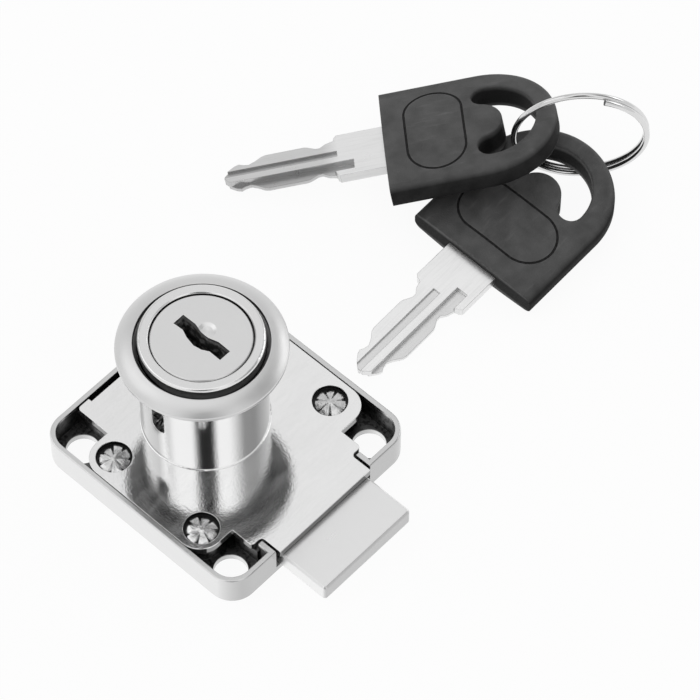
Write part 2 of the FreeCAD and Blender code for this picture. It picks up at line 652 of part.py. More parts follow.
def make_plug():
    """Plug: head and body turned, keyway, wafer slots with spring pockets, bores for both pins."""
    body = new_body("plug")
    profile = new_sketch(body, "plug_profile", plane="XZ_Plane")
    draw_polygon(
        profile,
        [
            ("0", "plug_tail"),
            ("plug_radius", "plug_tail"),
            ("plug_radius", "head_seat + head_gap"),
            ("plug_head", "head_seat + head_gap"),
            ("plug_head", "plug_face - face_bevel"),
            ("plug_head - face_bevel", "plug_face"),
            ("0", "plug_face"),
        ],
    )
    add_turned(body, "plug_blank", profile)

    keyway = new_sketch(body, "keyway_outline", offset="plug_face")
    draw_polygon(keyway, [(str(x), str(y)) for x, y in KEYWAY])
    add_pocket(body, "keyway", keyway, "plug_face - keyway_bottom")

    for number in range(1, WAFERS + 1):
        height = wafer_height(number)
        sign = wafer_side(number)
        level = height + " - wafer_thick / 2 - wafer_gap"
        slot = new_sketch(body, "wafer_slot_%d" % number, offset=level)
        draw_rectangle(
            slot,
            "-1 * plug_radius - cut_over",
            "plug_radius + cut_over",
            "-1 * wafer_width / 2 - wafer_gap",
            "wafer_width / 2 + wafer_gap",
        )
        add_pocket(body, "wafer_slot_cut_%d" % number, slot, "wafer_thick + 2 * wafer_gap", up=True)
        pocket = new_sketch(body, "spring_pocket_%d" % number, offset=level)
        closed_end = "%d * pocket_end" % sign
        open_end = "%d * ( lug_width + lug_room )" % sign
        near_side = "%d * wafer_width / 2" % sign
        far_side = "%d * pocket_reach" % sign
        draw_rectangle(
            pocket,
            *sorted((closed_end, open_end), key=value),
            *sorted((near_side, far_side), key=value),
        )
        add_pocket(body, "spring_pocket_cut_%d" % number, pocket, "wafer_thick + 2 * wafer_gap", up=True)

    catch = new_sketch(body, "catch_bore_outline", plane="XZ_Plane", offset="catch_bore_end")
    draw_circle(catch, "0", "catch_z", "catch_radius + catch_bore_gap")
    add_pocket(body, "catch_bore", catch, "plug_radius", up=True)

    drive = new_sketch(body, "drive_bore_outline", offset="drive_pin_high")
    draw_circle(drive, "throw_radius", "0", "drive_pin_radius")
    add_pocket(body, "drive_bore", drive, "drive_pin_high")

    dimple = new_sketch(body, "dimple_profile", plane="XZ_Plane", offset="-1 * dimple_y")
    draw_polygon(
        dimple,
        [
            ("dimple_x", "plug_face - dimple_deep"),
            ("dimple_x + dimple_radius * 0.6", "plug_face - dimple_deep * 0.64"),
            ("dimple_x + dimple_radius", "plug_face"),
            ("dimple_x + dimple_radius", "plug_face + cut_over"),
            ("dimple_x", "plug_face + cut_over"),
        ],
    )
    draw_line(dimple, ("dimple_x", "plug_face - cut_over"), ("dimple_x", "plug_face + cut_over"))
    add_turned(body, "dimple", dimple, cut=True, axis="Axis0")


def make_wafers():
    """Wafers: flat plates with round ends, a window for the blade and a lug for the spring."""
    for number in range(1, WAFERS + 1):
        body = new_body("wafer_%d" % number)
        height = wafer_height(number)
        sign = wafer_side(number)
        disc = new_sketch(body, "wafer_disc_%d" % number, offset=height + " - wafer_thick / 2")
        draw_circle(disc, "0", "0", "wafer_radius")
        add_pad(body, "wafer_blank_%d" % number, disc, "wafer_thick")
        for side, turned in (("left", "-1 *"), ("right", "1 *")):
            trim = new_sketch(body, "wafer_%s_%d" % (side, number), offset=height + " - wafer_thick / 2")
            inner, outer = turned + " wafer_width / 2", turned + " ( wafer_radius + cut_over )"
            edges = sorted((inner, outer), key=value)
            draw_rectangle(trim, "-1 * wafer_radius - cut_over", "wafer_radius + cut_over", *edges)
            add_pocket(body, "wafer_trim_%s_%d" % (side, number), trim, "wafer_thick", up=True)
        lug = new_sketch(body, "wafer_lug_outline_%d" % number, offset=height + " - wafer_thick / 2")
        along = sorted(("0", "%d * lug_width" % sign), key=value)
        across = sorted(("%d * ( wafer_width / 2 - lug_root )" % sign, "%d * lug_reach" % sign), key=value)
        draw_rectangle(lug, *along, *across)
        add_pad(body, "wafer_lug_%d" % number, lug, "wafer_thick")
        window = new_sketch(body, "wafer_window_%d" % number, offset=height + " - wafer_thick / 2")
        draw_rectangle(
            window,
            "-1 * wafer_window_long / 2",
            "wafer_window_long / 2",
            "-1 * wafer_window_wide / 2",
            "wafer_window_wide / 2",
        )
        add_pocket(body, "wafer_opening_%d" % number, window, "wafer_thick", up=True)


def arc_between(start, corner, finish):
    """The arc from start to finish that is tangent to the two lines that meet at the corner."""
    chord_middle = (start + finish) * 0.5
    half_chord = (finish - start).Length / 2
    outward = corner - chord_middle
    slope = math.atan2(outward.Length, half_chord)
    rise = half_chord * math.tan(slope / 2)
    return Part.Arc(start, chord_middle + outward.normalize() * rise, finish).toShape()


HALF_TURNS, QUARTER_TURNS = 2, 4


def wound_wire(label, radius, pitch, turns, thick, per_turn):
    """Round wire wound about Z on pairs of tangent arcs, so many a turn. Prints its least gap to itself."""
    steps = round(turns * per_turn)
    sweep = turns * 2 * math.pi / steps
    rise = pitch * turns / steps

    def spot(step):
        return FreeCAD.Vector(radius * math.cos(step * sweep), radius * math.sin(step * sweep), rise * step)

    def heading(step):
        across = FreeCAD.Vector(-math.sin(step * sweep), math.cos(step * sweep), 0) * radius * sweep
        return (across + FreeCAD.Vector(0, 0, rise)).normalize()

    arcs = []
    for step in range(steps):
        start, finish = spot(step), spot(step + 1)
        leave, arrive = heading(step), heading(step + 1)
        gap = finish - start
        spread = 1 - leave.dot(arrive)
        along = gap.dot(leave + arrive)
        reach = (math.sqrt(along * along + 2 * spread * gap.dot(gap)) - along) / (2 * spread)
        first, second = start + leave * reach, finish - arrive * reach
        joint = (first + second) * 0.5
        arcs.append(arc_between(start, first, joint))
        arcs.append(arc_between(joint, second, finish))
    path = Part.Wire(arcs)
    section = Part.Wire(Part.makeCircle(thick / 2, spot(0), heading(0)))
    samples_per_turn = 60
    samples = path.discretize(int(samples_per_turn * turns))
    apart = samples_per_turn // 2
    least = min(
        (samples[first] - samples[second]).Length
        for first in range(len(samples))
        for second in range(first + apart, len(samples))
    )
    print("%s: least gap to itself %.3f mm" % (label, least - thick))
    coil = doc.addObject("Part::Feature", label)
    coil.Label = label
    coil.Shape = path.makePipeShell([section], True, False)
    pieces.append(coil)
    return coil


def make_coil(label, length, turns, placement):
    """A small compression spring along its own Z axis, of the length given as an expression."""
    thick = value("spring_wire")
    count = value(turns)
    pitch = (value(length) - thick) / count
    coil = wound_wire(label, value("spring_radius"), pitch, count, thick, HALF_TURNS)
    lift = FreeCAD.Placement(FreeCAD.Vector(0, 0, thick / 2), FreeCAD.Rotation())
    coil.Placement = placement.multiply(lift)


def make_wafer_springs():
    """One spring beside each wafer, between the pocket's closed end and the wafer's lug."""
    for number in range(1, WAFERS + 1):
        sign = wafer_side(number)
        spot = FreeCAD.Vector(
            sign * value("pocket_end + spring_end_gap"),
            sign * value("wafer_width / 2 + ( lug_reach - wafer_width / 2 ) / 2"),
            value(wafer_height(number)),
        )
        turn = FreeCAD.Rotation(FreeCAD.Vector(0, 0, 1), FreeCAD.Vector(sign, 0, 0))
        length = "0 - pocket_end - 2 * spring_end_gap"
        make_coil("wafer_spring_%d" % number, length, "spring_turns", FreeCAD.Placement(spot, turn))


def make_catch():
    """Retaining pin with a round nose, and the spring behind it."""
    body = new_body("retaining_pin")
    section = new_sketch(body, "catch_outline", plane="XZ_Plane", offset="catch_tail")
    draw_circle(section, "0", "catch_z", "catch_radius")
    add_pad(body, "catch_rod", section, "catch_tip - catch_tail")
    tip = -value("catch_tip")
    add_fillet(body, "catch_nose", "catch_radius / 2", lambda box, middle: abs(box.YMax - tip) < 1e-3)
    spot = FreeCAD.Vector(0, -value("catch_bore_end + spring_end_gap"), value("catch_z"))
    turn = FreeCAD.Rotation(FreeCAD.Vector(0, 0, 1), FreeCAD.Vector(0, -1, 0))
    length = "catch_tail - catch_bore_end - 2 * spring_end_gap"
    make_coil("retaining_spring", length, "catch_spring_turns", FreeCAD.Placement(spot, turn))


def make_drive_pin():
    """Eccentric steel pin pressed into the plug's tail."""
    pin = doc.addObject("Part::Cylinder", "drive_pin")
    pin.Label = "drive_pin"
    pin.setExpression("Radius", linked("drive_pin_radius"))
    pin.setExpression("Height", linked("drive_pin_high - drive_pin_low"))
    pin.setExpression("Placement.Base.x", linked("throw_radius"))
    pin.setExpression("Placement.Base.z", linked("drive_pin_low"))
    doc.recompute()
    pieces.append(pin)


def make_bolt():
    """Flat bolt with a cross slot for the drive pin and a bevelled end."""
    body = new_body("bolt")
    outline = new_sketch(body, "bolt_outline", offset="bolt_low")
    draw_rectangle(outline, "bolt_back", "bolt_front", "-1 * bolt_half", "bolt_half")
    add_pad(body, "bolt_plate", outline, "bolt_thick")
    add_fillet(body, "bolt_corners", "bolt_corner", is_upright)
    slot = new_sketch(body, "slot_outline", offset="bolt_low")
    draw_rectangle(
        slot,
        "throw_radius - slot_half_x",
        "throw_radius + slot_half_x",
        "-1 * slot_half_y",
        "slot_half_y",
    )
    add_pocket(body, "cross_slot", slot, "bolt_thick", up=True)
    add_fillet(
        body,
        "slot_corners",
        "drive_pin_radius",
        lambda box, middle: is_upright(box) and near(abs(box.YMin), "slot_half_y"),
    )

    def on_front(box, middle):
        top = near(box.ZMin, "bolt_low + bolt_thick")
        return top and box.ZLength < 1e-3 and near(box.XMin, "bolt_front")

    add_fillet(body, "bolt_end_bevel", "bolt_edge", on_front, chamfer=True)


def make_trim_ring():
    """Domed trim ring with a short collar, turned in one piece."""
    body = new_body("trim_ring")
    profile = new_sketch(body, "trim_profile", plane="XZ_Plane")
    draw_polygon(
        profile,
        [
            ("trim_bore", "trim_low"),
            ("trim_collar", "trim_low"),
            ("trim_collar", "trim_under"),
            ("trim_outer", "trim_under"),
            ("trim_outer", "trim_edge"),
            ("trim_shoulder", "trim_shoulder_z"),
            ("trim_inner", "trim_top"),
            ("trim_inner", "trim_lip"),
            ("trim_bore", "trim_seat"),
        ],
    )
    add_turned(body, "trim_turned", profile)
    for name, rounding, corners in (
        ("trim_dome", "trim_dome_round", [("trim_shoulder", "trim_shoulder_z")]),
        ("trim_rim", "trim_rim_round", [("trim_outer", "trim_under"), ("trim_outer", "trim_edge")]),
        ("trim_inner_edge", "trim_lip_round", [("trim_inner", "trim_top")]),
    ):

        def on_circle(box, middle):
            across = math.hypot(middle.x, middle.y)
            return box.ZLength < 1e-3 and any(near(across, r) and near(middle.z, z) for r, z in corners)

        add_fillet(body, name, rounding, on_circle)


def key_placement(pose):
    x, y, z, turn, tilt, roll = pose
    return FreeCAD.Placement(FreeCAD.Vector(x, y, z), FreeCAD.Rotation(turn, tilt, roll))


def make_blade(number, pose):
    """Blade: cuts along both edges, a groove and a rebate on each face, and a tang inside the bow."""
    blade = new_body("key_%d_blade" % number)
    side = [
        ("key_tang", "tang_half"),
        ("tang_shoulder", "tang_half"),
        ("tang_shoulder", "key_shoulder"),
    ]
    side += [("-1 * %s" % station, str(half_width)) for station, half_width in BLADE_EDGE]
    side.append(("-1 * key_length", "key_tip"))
    other = [(x, "-1 * " + y) for x, y in reversed(side)]
    outline = new_sketch(blade, "blade_outline_%d" % number, offset="-1 * key_thick / 2")
    draw_polygon(outline, side + other)
    add_pad(blade, "blade_plate_%d" % number, outline, "key_thick")
    for face, sign in (("top", 1), ("under", -1)):
        level = "%d * key_thick / 2" % sign
        for strip, start, low, high, deep in (
            ("groove", "groove_start", "groove_low", "groove_high", "groove_deep"),
            ("rebate", "rebate_start", "rebate_outer", "rebate_inner", "rebate_deep"),
        ):
            name = "%s_%s_%d" % (strip, face, number)
            channel = new_sketch(blade, name + "_outline", offset=level)
            across = sorted(("%d * %s" % (sign, low), "%d * %s" % (sign, high)), key=value)
            draw_rectangle(channel, "-1 * key_length - cut_over", "-1 * " + start, *across)
            add_pocket(blade, name, channel, deep, up=sign < 0)
    blade.Placement = key_placement(pose)


def draw_crown(sketch, sign):
    """The waste above or below the bow: outside a flat arc that falls from the middle to the sides."""
    radius = "( ( bow_half * bow_half + %s * %s ) / ( 2 * %s ) )" % (BOW_SAG, BOW_SAG, BOW_SAG)
    middle = "%d * ( bow_thick / 2 - %s )" % (sign, radius)
    reach = value("bow_half") + 1
    swing = math.asin(reach / value(radius))
    upright = sign * math.pi / 2
    circle = Part.Circle(FreeCAD.Vector(0, value(middle), 0), FreeCAD.Vector(0, 0, 1), value(radius))
    arc = sketch.addGeometry(Part.ArcOfCircle(circle, upright - swing, upright + swing), False)
    ends = [sketch.Geometry[arc].StartPoint, sketch.Geometry[arc].EndPoint]
    outside = value("bow_thick") * sign
    beyond = [FreeCAD.Vector(end.x, outside, 0) for end in reversed(ends)]
    corners = [ends[1], *beyond, ends[0]]
    last, point = arc, 2
    for index in range(3):
        line = sketch.addGeometry(Part.LineSegment(corners[index], corners[index + 1]), False)
        sketch.addConstraint(Sketcher.Constraint("Coincident", last, point, line, 1))
        last, point = line, 2
    sketch.addConstraint(Sketcher.Constraint("Coincident", last, 2, arc, 1))
    bind_point(sketch, arc, 3, "0", middle)
    number = sketch.addConstraint(Sketcher.Constraint("Radius", arc, value(radius)))
    sketch.setExpression("Constraints[%d]" % number, linked(radius))


def draw_crescent(sketch):
    """The hole for the ring: an outer curve, a bulge inside it, and round ends tangent to both."""
    centre = value("hole_centre")
    radius, end = value("hole_radius"), value("hole_end")
    reach = radius - end
    back = value("hole_centre - bulge_centre")
    lean = math.atan2(reach, back)
    quarter = math.pi / 2
    arcs = []
    for x, y, size, start, finish in (
        (centre, 0, radius, -quarter, quarter),
        (centre, reach, end, quarter, math.pi + lean),
        (centre - back, 0, math.hypot(reach, back) - end, -lean, lean),
        (centre, -reach, end, math.pi - lean, 3 * quarter),
    ):
        circle = Part.Circle(FreeCAD.Vector(x, y, 0), FreeCAD.Vector(0, 0, 1), size)
        arcs.append(sketch.addGeometry(Part.ArcOfCircle(circle, start, finish), False))
    outer, far_end, bulge, near_end = arcs
    for first, first_point, second, second_point in (
        (outer, 2, far_end, 1),
        (far_end, 2, bulge, 2),
        (bulge, 1, near_end, 1),
        (near_end, 2, outer, 1),
    ):
        sketch.addConstraint(Sketcher.Constraint("Tangent", first, first_point, second, second_point))
    bind_point(sketch, outer, 3, "hole_centre", "0")
    bind_point(sketch, far_end, 3, "hole_centre", "hole_radius - hole_end")
    bind_point(sketch, bulge, 3, "bulge_centre", "0")
    sketch.addConstraint(Sketcher.Constraint("Vertical", outer, 3, near_end, 3))
    number = sketch.addConstraint(Sketcher.Constraint("Radius", outer, radius))
    sketch.setExpression("Constraints[%d]" % number, linked("hole_radius"))


def make_bow(number, pose):
    """Moulded bow round the blade's tang: square at the blade, round at the end, thinner at its sides."""
    bow = new_body("key_%d_bow" % number)
    square = new_sketch(bow, "bow_outline_%d" % number, offset="-1 * bow_thick / 2")
    draw_rectangle(square, "0", "bow_length - bow_half", "-1 * bow_half", "bow_half")
    add_pad(bow, "bow_block_%d" % number, square, "bow_thick")
    end = new_sketch(bow, "bow_end_%d" % number, offset="-1 * bow_thick / 2")
    draw_circle(end, "bow_length - bow_half", "0", "bow_half")
    add_pad(bow, "bow_round_end_%d" % number, end, "bow_thick")
    for face, sign in (("top", 1), ("under", -1)):
        crown = new_sketch(bow, "crown_outline_%s_%d" % (face, number), plane="YZ_Plane", offset="-1")
        draw_crown(crown, sign)
        add_pocket(bow, "crown_%s_%d" % (face, number), crown, "bow_length + 2", up=True)

    hole = new_sketch(bow, "hole_outline_%d" % number, offset="bow_thick")
    draw_crescent(hole)
    add_pocket(bow, "hole_%d" % number, hole, "2 * bow_thick")

    seat = new_sketch(bow, "shoulder_seat_outline_%d" % number, offset="-1 * key_thick / 2")
    draw_rectangle(seat, "-1", "tang_shoulder", "-1 * key_shoulder", "key_shoulder")
    add_pocket(bow, "shoulder_seat_%d" % number, seat, "key_thick", up=True)
    tang = new_sketch(bow, "tang_seat_outline_%d" % number, offset="-1 * key_thick / 2")
    draw_rectangle(tang, "tang_shoulder - 0.1", "key_tang", "-1 * tang_half", "tang_half")
    add_pocket(bow, "tang_seat_%d" % number, tang, "key_thick", up=True)

    end = value("bow_length - bow_half")
    side = value("bow_edge") / 2 - 0.05

    def on_rim(box, middle):
        across = abs(middle.y) if middle.x < end else math.hypot(middle.x - end, middle.y)
        return across > value("bow_half") - 0.01 and abs(middle.z) > side

    def on_hole(box, middle):
        inside = math.hypot(middle.x - value("hole_centre"), middle.y) < value("hole_radius") + 0.1
        return inside and middle.x > value("hole_centre - hole_end") - 0.1 and abs(middle.z) > side

    add_fillet(bow, "bow_rim_%d" % number, "bow_round", on_rim)
    add_fillet(bow, "hole_rim_%d" % number, "hole_round", on_hole)
    bow.Placement = key_placement(pose)


def make_split_ring():
    """Split ring: round spring wire wound a little over one and a half turns."""
    ring = wound_wire(
        "split_ring",
        value("ring_radius"),
        value("ring_pitch"),
        value("ring_turns"),
        value("ring_wire"),
        QUARTER_TURNS,
    )
    upright = FreeCAD.Rotation(FreeCAD.Vector(1, 0, 0), 90 + RING_LEAN)
    start = FreeCAD.Rotation(FreeCAD.Vector(0, 0, 1), RING_START)
    turn = FreeCAD.Rotation(FreeCAD.Vector(0, 0, 1), RING_TURN)
    half_height = FreeCAD.Vector(0, 0, value("-1 * ring_pitch * ring_turns / 2"))
    middle = FreeCAD.Placement(half_height, FreeCAD.Rotation())
    place = FreeCAD.Placement(FreeCAD.Vector(*RING_POSE), turn.multiply(upright).multiply(start))
    ring.Placement = place.multiply(middle)


make_case_tray()
make_cover()
make_rivets()
make_plug()
make_drive_pin()
make_wafers()
make_wafer_springs()
make_catch()
make_bolt()
make_trim_ring()
for number, pose in ((1, KEY_1_POSE), (2, KEY_2_POSE)):
    make_blade(number, pose)
    make_bow(number, pose)
make_split_ring()
doc.recompute()

# Nothing is written unless every object and every sub-part is sound.
for item in doc.Objects:
    if "Invalid" in item.State or "Error" in item.State:
        raise RuntimeError("%s is %s" % (item.Name, item.State))
for piece in pieces:
    if piece.Shape.isNull() or not piece.Shape.isValid():
        raise RuntimeError("%s has no valid shape" % piece.Label)

os.makedirs("parts", exist_ok=True)
for piece in pieces:
    piece.Shape.exportStep("parts/%s.step" % piece.Label)
    print(piece.Label, round(piece.Shape.Volume, 2), len(piece.Shape.Solids))
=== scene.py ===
"""The looks of a furniture lock with its two keys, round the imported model."""
import bpy
import math
import random
from mathutils import Matrix, Vector


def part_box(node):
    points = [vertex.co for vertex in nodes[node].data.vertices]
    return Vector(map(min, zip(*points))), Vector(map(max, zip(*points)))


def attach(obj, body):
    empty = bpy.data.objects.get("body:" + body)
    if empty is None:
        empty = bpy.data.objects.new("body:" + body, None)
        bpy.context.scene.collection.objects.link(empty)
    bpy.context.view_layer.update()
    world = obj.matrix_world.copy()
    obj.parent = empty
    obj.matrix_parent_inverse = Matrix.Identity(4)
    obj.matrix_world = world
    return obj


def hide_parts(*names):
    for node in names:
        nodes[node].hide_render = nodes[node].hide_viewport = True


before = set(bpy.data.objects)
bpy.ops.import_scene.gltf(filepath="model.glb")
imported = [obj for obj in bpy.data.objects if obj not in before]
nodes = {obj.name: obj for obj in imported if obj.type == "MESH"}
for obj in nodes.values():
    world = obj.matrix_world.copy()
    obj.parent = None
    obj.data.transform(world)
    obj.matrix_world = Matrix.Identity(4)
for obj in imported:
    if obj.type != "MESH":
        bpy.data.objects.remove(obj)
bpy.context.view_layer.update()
bpy.ops.object.select_all(action="DESELECT")
MM = 0.001

# The camera stands where the photograph was taken from, with a long lens and a plain square frame.
# The lock's axis and the case's edges gave its direction and distance.
CAMERA_AZIMUTH = math.radians(42.875)
CAMERA_HEIGHT = math.radians(56.24)
CAMERA_ROLL = math.radians(0.079)
CAMERA_DISTANCE = 0.573016
CAMERA_RIGHT = 0.02117
CAMERA_UP = 0.01257
FOCAL_PIXELS = 3873.667
FRAME_PIXELS = 700
SENSOR_WIDTH = 36
towards = Vector(
    (
        math.sin(CAMERA_AZIMUTH) * math.cos(CAMERA_HEIGHT),
        -math.cos(CAMERA_AZIMUTH) * math.cos(CAMERA_HEIGHT),
        math.sin(CAMERA_HEIGHT),
    )
)
stance = (-towards).to_track_quat("-Z", "Y").to_matrix() @ Matrix.Rotation(CAMERA_ROLL, 3, "Z")
camera_data = bpy.data.cameras.new("camera")
camera_data.sensor_width = SENSOR_WIDTH
camera_data.lens = FOCAL_PIXELS / FRAME_PIXELS * SENSOR_WIDTH
camera = bpy.data.objects.new("camera", camera_data)
camera.location = towards * CAMERA_DISTANCE + stance.col[0] * CAMERA_RIGHT + stance.col[1] * CAMERA_UP
camera.rotation_euler = stance.to_euler()
bpy.context.scene.collection.objects.link(camera)
bpy.context.scene.camera = camera
bpy.context.scene.view_settings.view_transform = "Standard"

# The floor is a plain white table top. A camera, mirror or glass ray sees it nearly at full white,
# and the object's soft shadow stays on it.
FLOOR_REACH = 3.0
FLOOR_DROP = 0.02 * MM
FLOOR_TONE = 0.95
FLOOR_ROUGHNESS = 0.9
SHADOW_SHARE = 0.07


def new_material(name):
    """A node material: its tree, its Principled shader, and the piece's own coordinates."""
    material = bpy.data.materials.new(name)
    material.use_nodes = True
    tree = material.node_tree
    tree.nodes.clear()
    output = tree.nodes.new("ShaderNodeOutputMaterial")
    shader = tree.nodes.new("ShaderNodeBsdfPrincipled")
    tree.links.new(shader.outputs["BSDF"], output.inputs["Surface"])
    place = tree.nodes.new("ShaderNodeTexCoord").outputs["Object"]
    return material, tree, shader, place


def add_node(tree, kind, inputs=None, **properties):
    """A shader node with its properties. Each input is another node's output or a plain value."""
    made = tree.nodes.new("ShaderNode" + kind)
    for name, setting in properties.items():
        setattr(made, name, setting)
    for name, given in (inputs or {}).items():
        if isinstance(given, bpy.types.NodeSocket):
            tree.links.new(given, made.inputs[name])
        else:
            made.inputs[name].default_value = given
    return made


def calc(tree, operation, *terms):
    """The result of a sum on other nodes' outputs or plain numbers."""
    return add_node(tree, "Math", dict(enumerate(terms)), operation=operation).outputs[0]


bpy.ops.mesh.primitive_plane_add(size=FLOOR_REACH, location=(0, 0, -FLOOR_DROP))
floor = bpy.context.object
floor.name = "floor"
material, tree, shader, place = new_material("floor_white")
shader.inputs["Base Color"].default_value = (FLOOR_TONE, FLOOR_TONE, FLOOR_TONE, 1)
shader.inputs["Roughness"].default_value = FLOOR_ROUGHNESS
shader.inputs["Specular IOR Level"].default_value = 0.0
floor.data.materials.append(material)
glow = add_node(tree, "Emission", {"Strength": 1.0})
rays = add_node(tree, "LightPath").outputs
seen = calc(tree, "MAXIMUM", rays["Is Camera Ray"], rays["Is Glossy Ray"])
seen = calc(tree, "MAXIMUM", seen, rays["Is Transmission Ray"])
share = calc(tree, "MULTIPLY", seen, 1 - SHADOW_SHARE)
mix = add_node(
    tree, "MixShader", {"Fac": share, 1: shader.outputs["BSDF"], 2: glow.outputs["Emission"]}
)
tree.links.new(mix.outputs["Shader"], tree.nodes["Material Output"].inputs["Surface"])

# The world is a white tent round the table. Its front is open for the camera, and its sides have grey
# panels, which a polished barrel shows as bands. Angles go round from the camera's side, to the right.
TENT_BANDS = [
    (-180, 0.84),
    (-150, 0.60),
    (-100, 0.58),
    (-72, 0.65),
    (-56, 1.0),
    (-22, 1.0),
    (-11, 0.08),
    (-6, 0.02),
    (9, 0.02),
    (14, 0.06),
    (23, 1.0),
    (45, 1.0),
    (56, 0.75),
    (74, 0.30),
    (100, 0.28),
    (120, 0.42),
    (155, 0.62),
    (180, 0.84),
]
TENT_TOP = 0.93
TENT_TOP_BLEND = 0.03
TENT_WALL = 0.80
PANEL_FOOT = 0.42
PANEL_BLEND = 0.08


def add_ramp(tree, factor, stops):
    """A colour ramp in greys: (position, grey) pairs."""
    ramp = add_node(tree, "ValToRGB", {"Fac": factor})
    elements = ramp.color_ramp.elements
    while len(elements) < len(stops):
        elements.new(1.0)
    for element, (position, grey) in zip(elements, stops):
        element.position = position
        element.color = (grey, grey, grey, 1)
    return ramp.outputs["Color"]


def blend(tree, factor, first, second):
    """A value that goes from the first to the second as the factor rises from 0 to 1."""
    made = add_node(tree, "Mix", {"Factor": factor, "A": first, "B": second}, data_type="FLOAT")
    return made.outputs["Result"]


def apart(tree, vector):
    """The X, Y and Z of a vector."""
    return add_node(tree, "SeparateXYZ", {"Vector": vector}).outputs


world = bpy.data.worlds.new("studio")
bpy.context.scene.world = world
world.use_nodes = True
tree = world.node_tree
tree.nodes.clear()
outward = add_node(tree, "TexCoord").outputs["Generated"]
turned = add_node(
    tree, "VectorRotate", {"Vector": outward, "Angle": -CAMERA_AZIMUTH}, rotation_type="Z_AXIS"
)
parts = apart(tree, turned.outputs["Vector"])
front = calc(tree, "MULTIPLY", parts["Y"], -1.0)
round_angle = calc(tree, "ARCTAN2", parts["X"], front)
share = calc(tree, "MULTIPLY_ADD", round_angle, 1 / (2 * math.pi), 0.5)
bands = add_ramp(tree, share, [(angle / 360 + 0.5, grey) for angle, grey in TENT_BANDS])
roof = add_ramp(
    tree,
    parts["Z"],
    [(0.0, 0.0), (TENT_TOP - TENT_TOP_BLEND, 0.0), (TENT_TOP + TENT_TOP_BLEND, 1.0)],
)
low = add_ramp(
    tree,
    parts["Z"],
    [(0.0, 1.0), (PANEL_FOOT - PANEL_BLEND, 1.0), (PANEL_FOOT + PANEL_BLEND, 0.0)],
)
walls = blend(tree, low, bands, TENT_WALL)
panels = blend(tree, roof, walls, 1.0)
tent = add_node(tree, "Background", {"Strength": panels, "Color": (1, 1, 1, 1)})
add_node(tree, "OutputWorld", {"Surface": tent.outputs["Background"]})

# Soft boxes: a large one over the left shoulder of the camera, and a long one behind the keys.
# Both are weak, because the white tent gives most of the light.
LIGHT_AIM = Vector((0.0, 0.02, 0.0))


def soft_box(name, spot, width, height, power):
    """A rectangular lamp that looks at the object."""
    data = bpy.data.lights.new(name, "AREA")
    data.shape = "RECTANGLE"
    data.size = width
    data.size_y = height
    data.energy = power
    lamp = bpy.data.objects.new(name, data)
    lamp.location = spot
    lamp.rotation_euler = (LIGHT_AIM - Vector(spot)).to_track_quat("-Z", "Y").to_euler()
    bpy.context.scene.collection.objects.link(lamp)


soft_box("key_light", spot=(-0.40, -0.20, 0.55), width=0.45, height=0.45, power=0.4)
soft_box("back_light", spot=(0.20, 0.60, 0.35), width=0.45, height=0.20, power=0.4)

# Shared look of plated metal: a tone that drifts a little in clouds, a finish that drifts with it,
# and a height for fine pits. Cloud and pit sizes are given as noise scales per metre.
plated = bpy.data.node_groups.new("plated_metal", "ShaderNodeTree")
for name, kind, preset in (
    ("Vector", "NodeSocketVector", None),
    ("Tone", "NodeSocketFloat", 0.8),
    ("Drift", "NodeSocketFloat", 0.03),
    ("Cloud Scale", "NodeSocketFloat", 150.0),
    ("Roughness", "NodeSocketFloat", 0.2),
    ("Pit Scale", "NodeSocketFloat", 2500.0),
):
    socket = plated.interface.new_socket(name, in_out="INPUT", socket_type=kind)
    if preset is not None:
        socket.default_value = preset
for name, kind in (
    ("Color", "NodeSocketColor"),
    ("Roughness", "NodeSocketFloat"),
    ("Height", "NodeSocketFloat"),
):
    plated.interface.new_socket(name, in_out="OUTPUT", socket_type=kind)
given = plated.nodes.new("NodeGroupInput").outputs
result = plated.nodes.new("NodeGroupOutput").inputs
cloud = add_node(
    plated,
    "TexNoise",
    {"Vector": given["Vector"], "Scale": given["Cloud Scale"], "Detail": 4.0, "Roughness": 0.6},
)
centred = calc(plated, "SUBTRACT", cloud.outputs["Fac"], 0.5)
tone = calc(plated, "ADD", calc(plated, "MULTIPLY", centred, given["Drift"]), given["Tone"])
colour = add_node(plated, "CombineColor", {"Red": tone, "Green": tone, "Blue": tone})
dull = calc(plated, "MULTIPLY", calc(plated, "MULTIPLY_ADD", centred, 0.5, 1.0), given["Roughness"])
pits = add_node(
    plated,
    "TexNoise",
    {"Vector": given["Vector"], "Scale": given["Pit Scale"], "Detail": 3.0, "Roughness": 0.65},
)
plated.links.new(colour.outputs["Color"], result["Color"])
plated.links.new(dull, result["Roughness"])
plated.links.new(pits.outputs["Fac"], result["Height"])


def plate_metal(
    name, tone, roughness, drift=0.04, cloud=150, pit=2500, pit_depth=0.01 * MM, pit_strength=0.3
):
    """A plated metal, to which a piece can add marks of its own."""
    material, tree, shader, place = new_material(name)
    shader.inputs["Metallic"].default_value = 1.0
    group = tree.nodes.new("ShaderNodeGroup")
    group.node_tree = plated
    for socket, setting in (
        ("Tone", tone),
        ("Drift", drift),
        ("Cloud Scale", cloud),
        ("Roughness", roughness),
        ("Pit Scale", pit),
    ):
        group.inputs[socket].default_value = setting
    tree.links.new(place, group.inputs["Vector"])
    tree.links.new(group.outputs["Color"], shader.inputs["Base Color"])
    tree.links.new(group.outputs["Roughness"], shader.inputs["Roughness"])
    bump = add_node(
        tree,
        "Bump",
        {"Height": group.outputs["Height"], "Strength": pit_strength, "Distance": pit_depth},
    )
    tree.links.new(bump.outputs["Normal"], shader.inputs["Normal"])
    return material, tree, shader, place


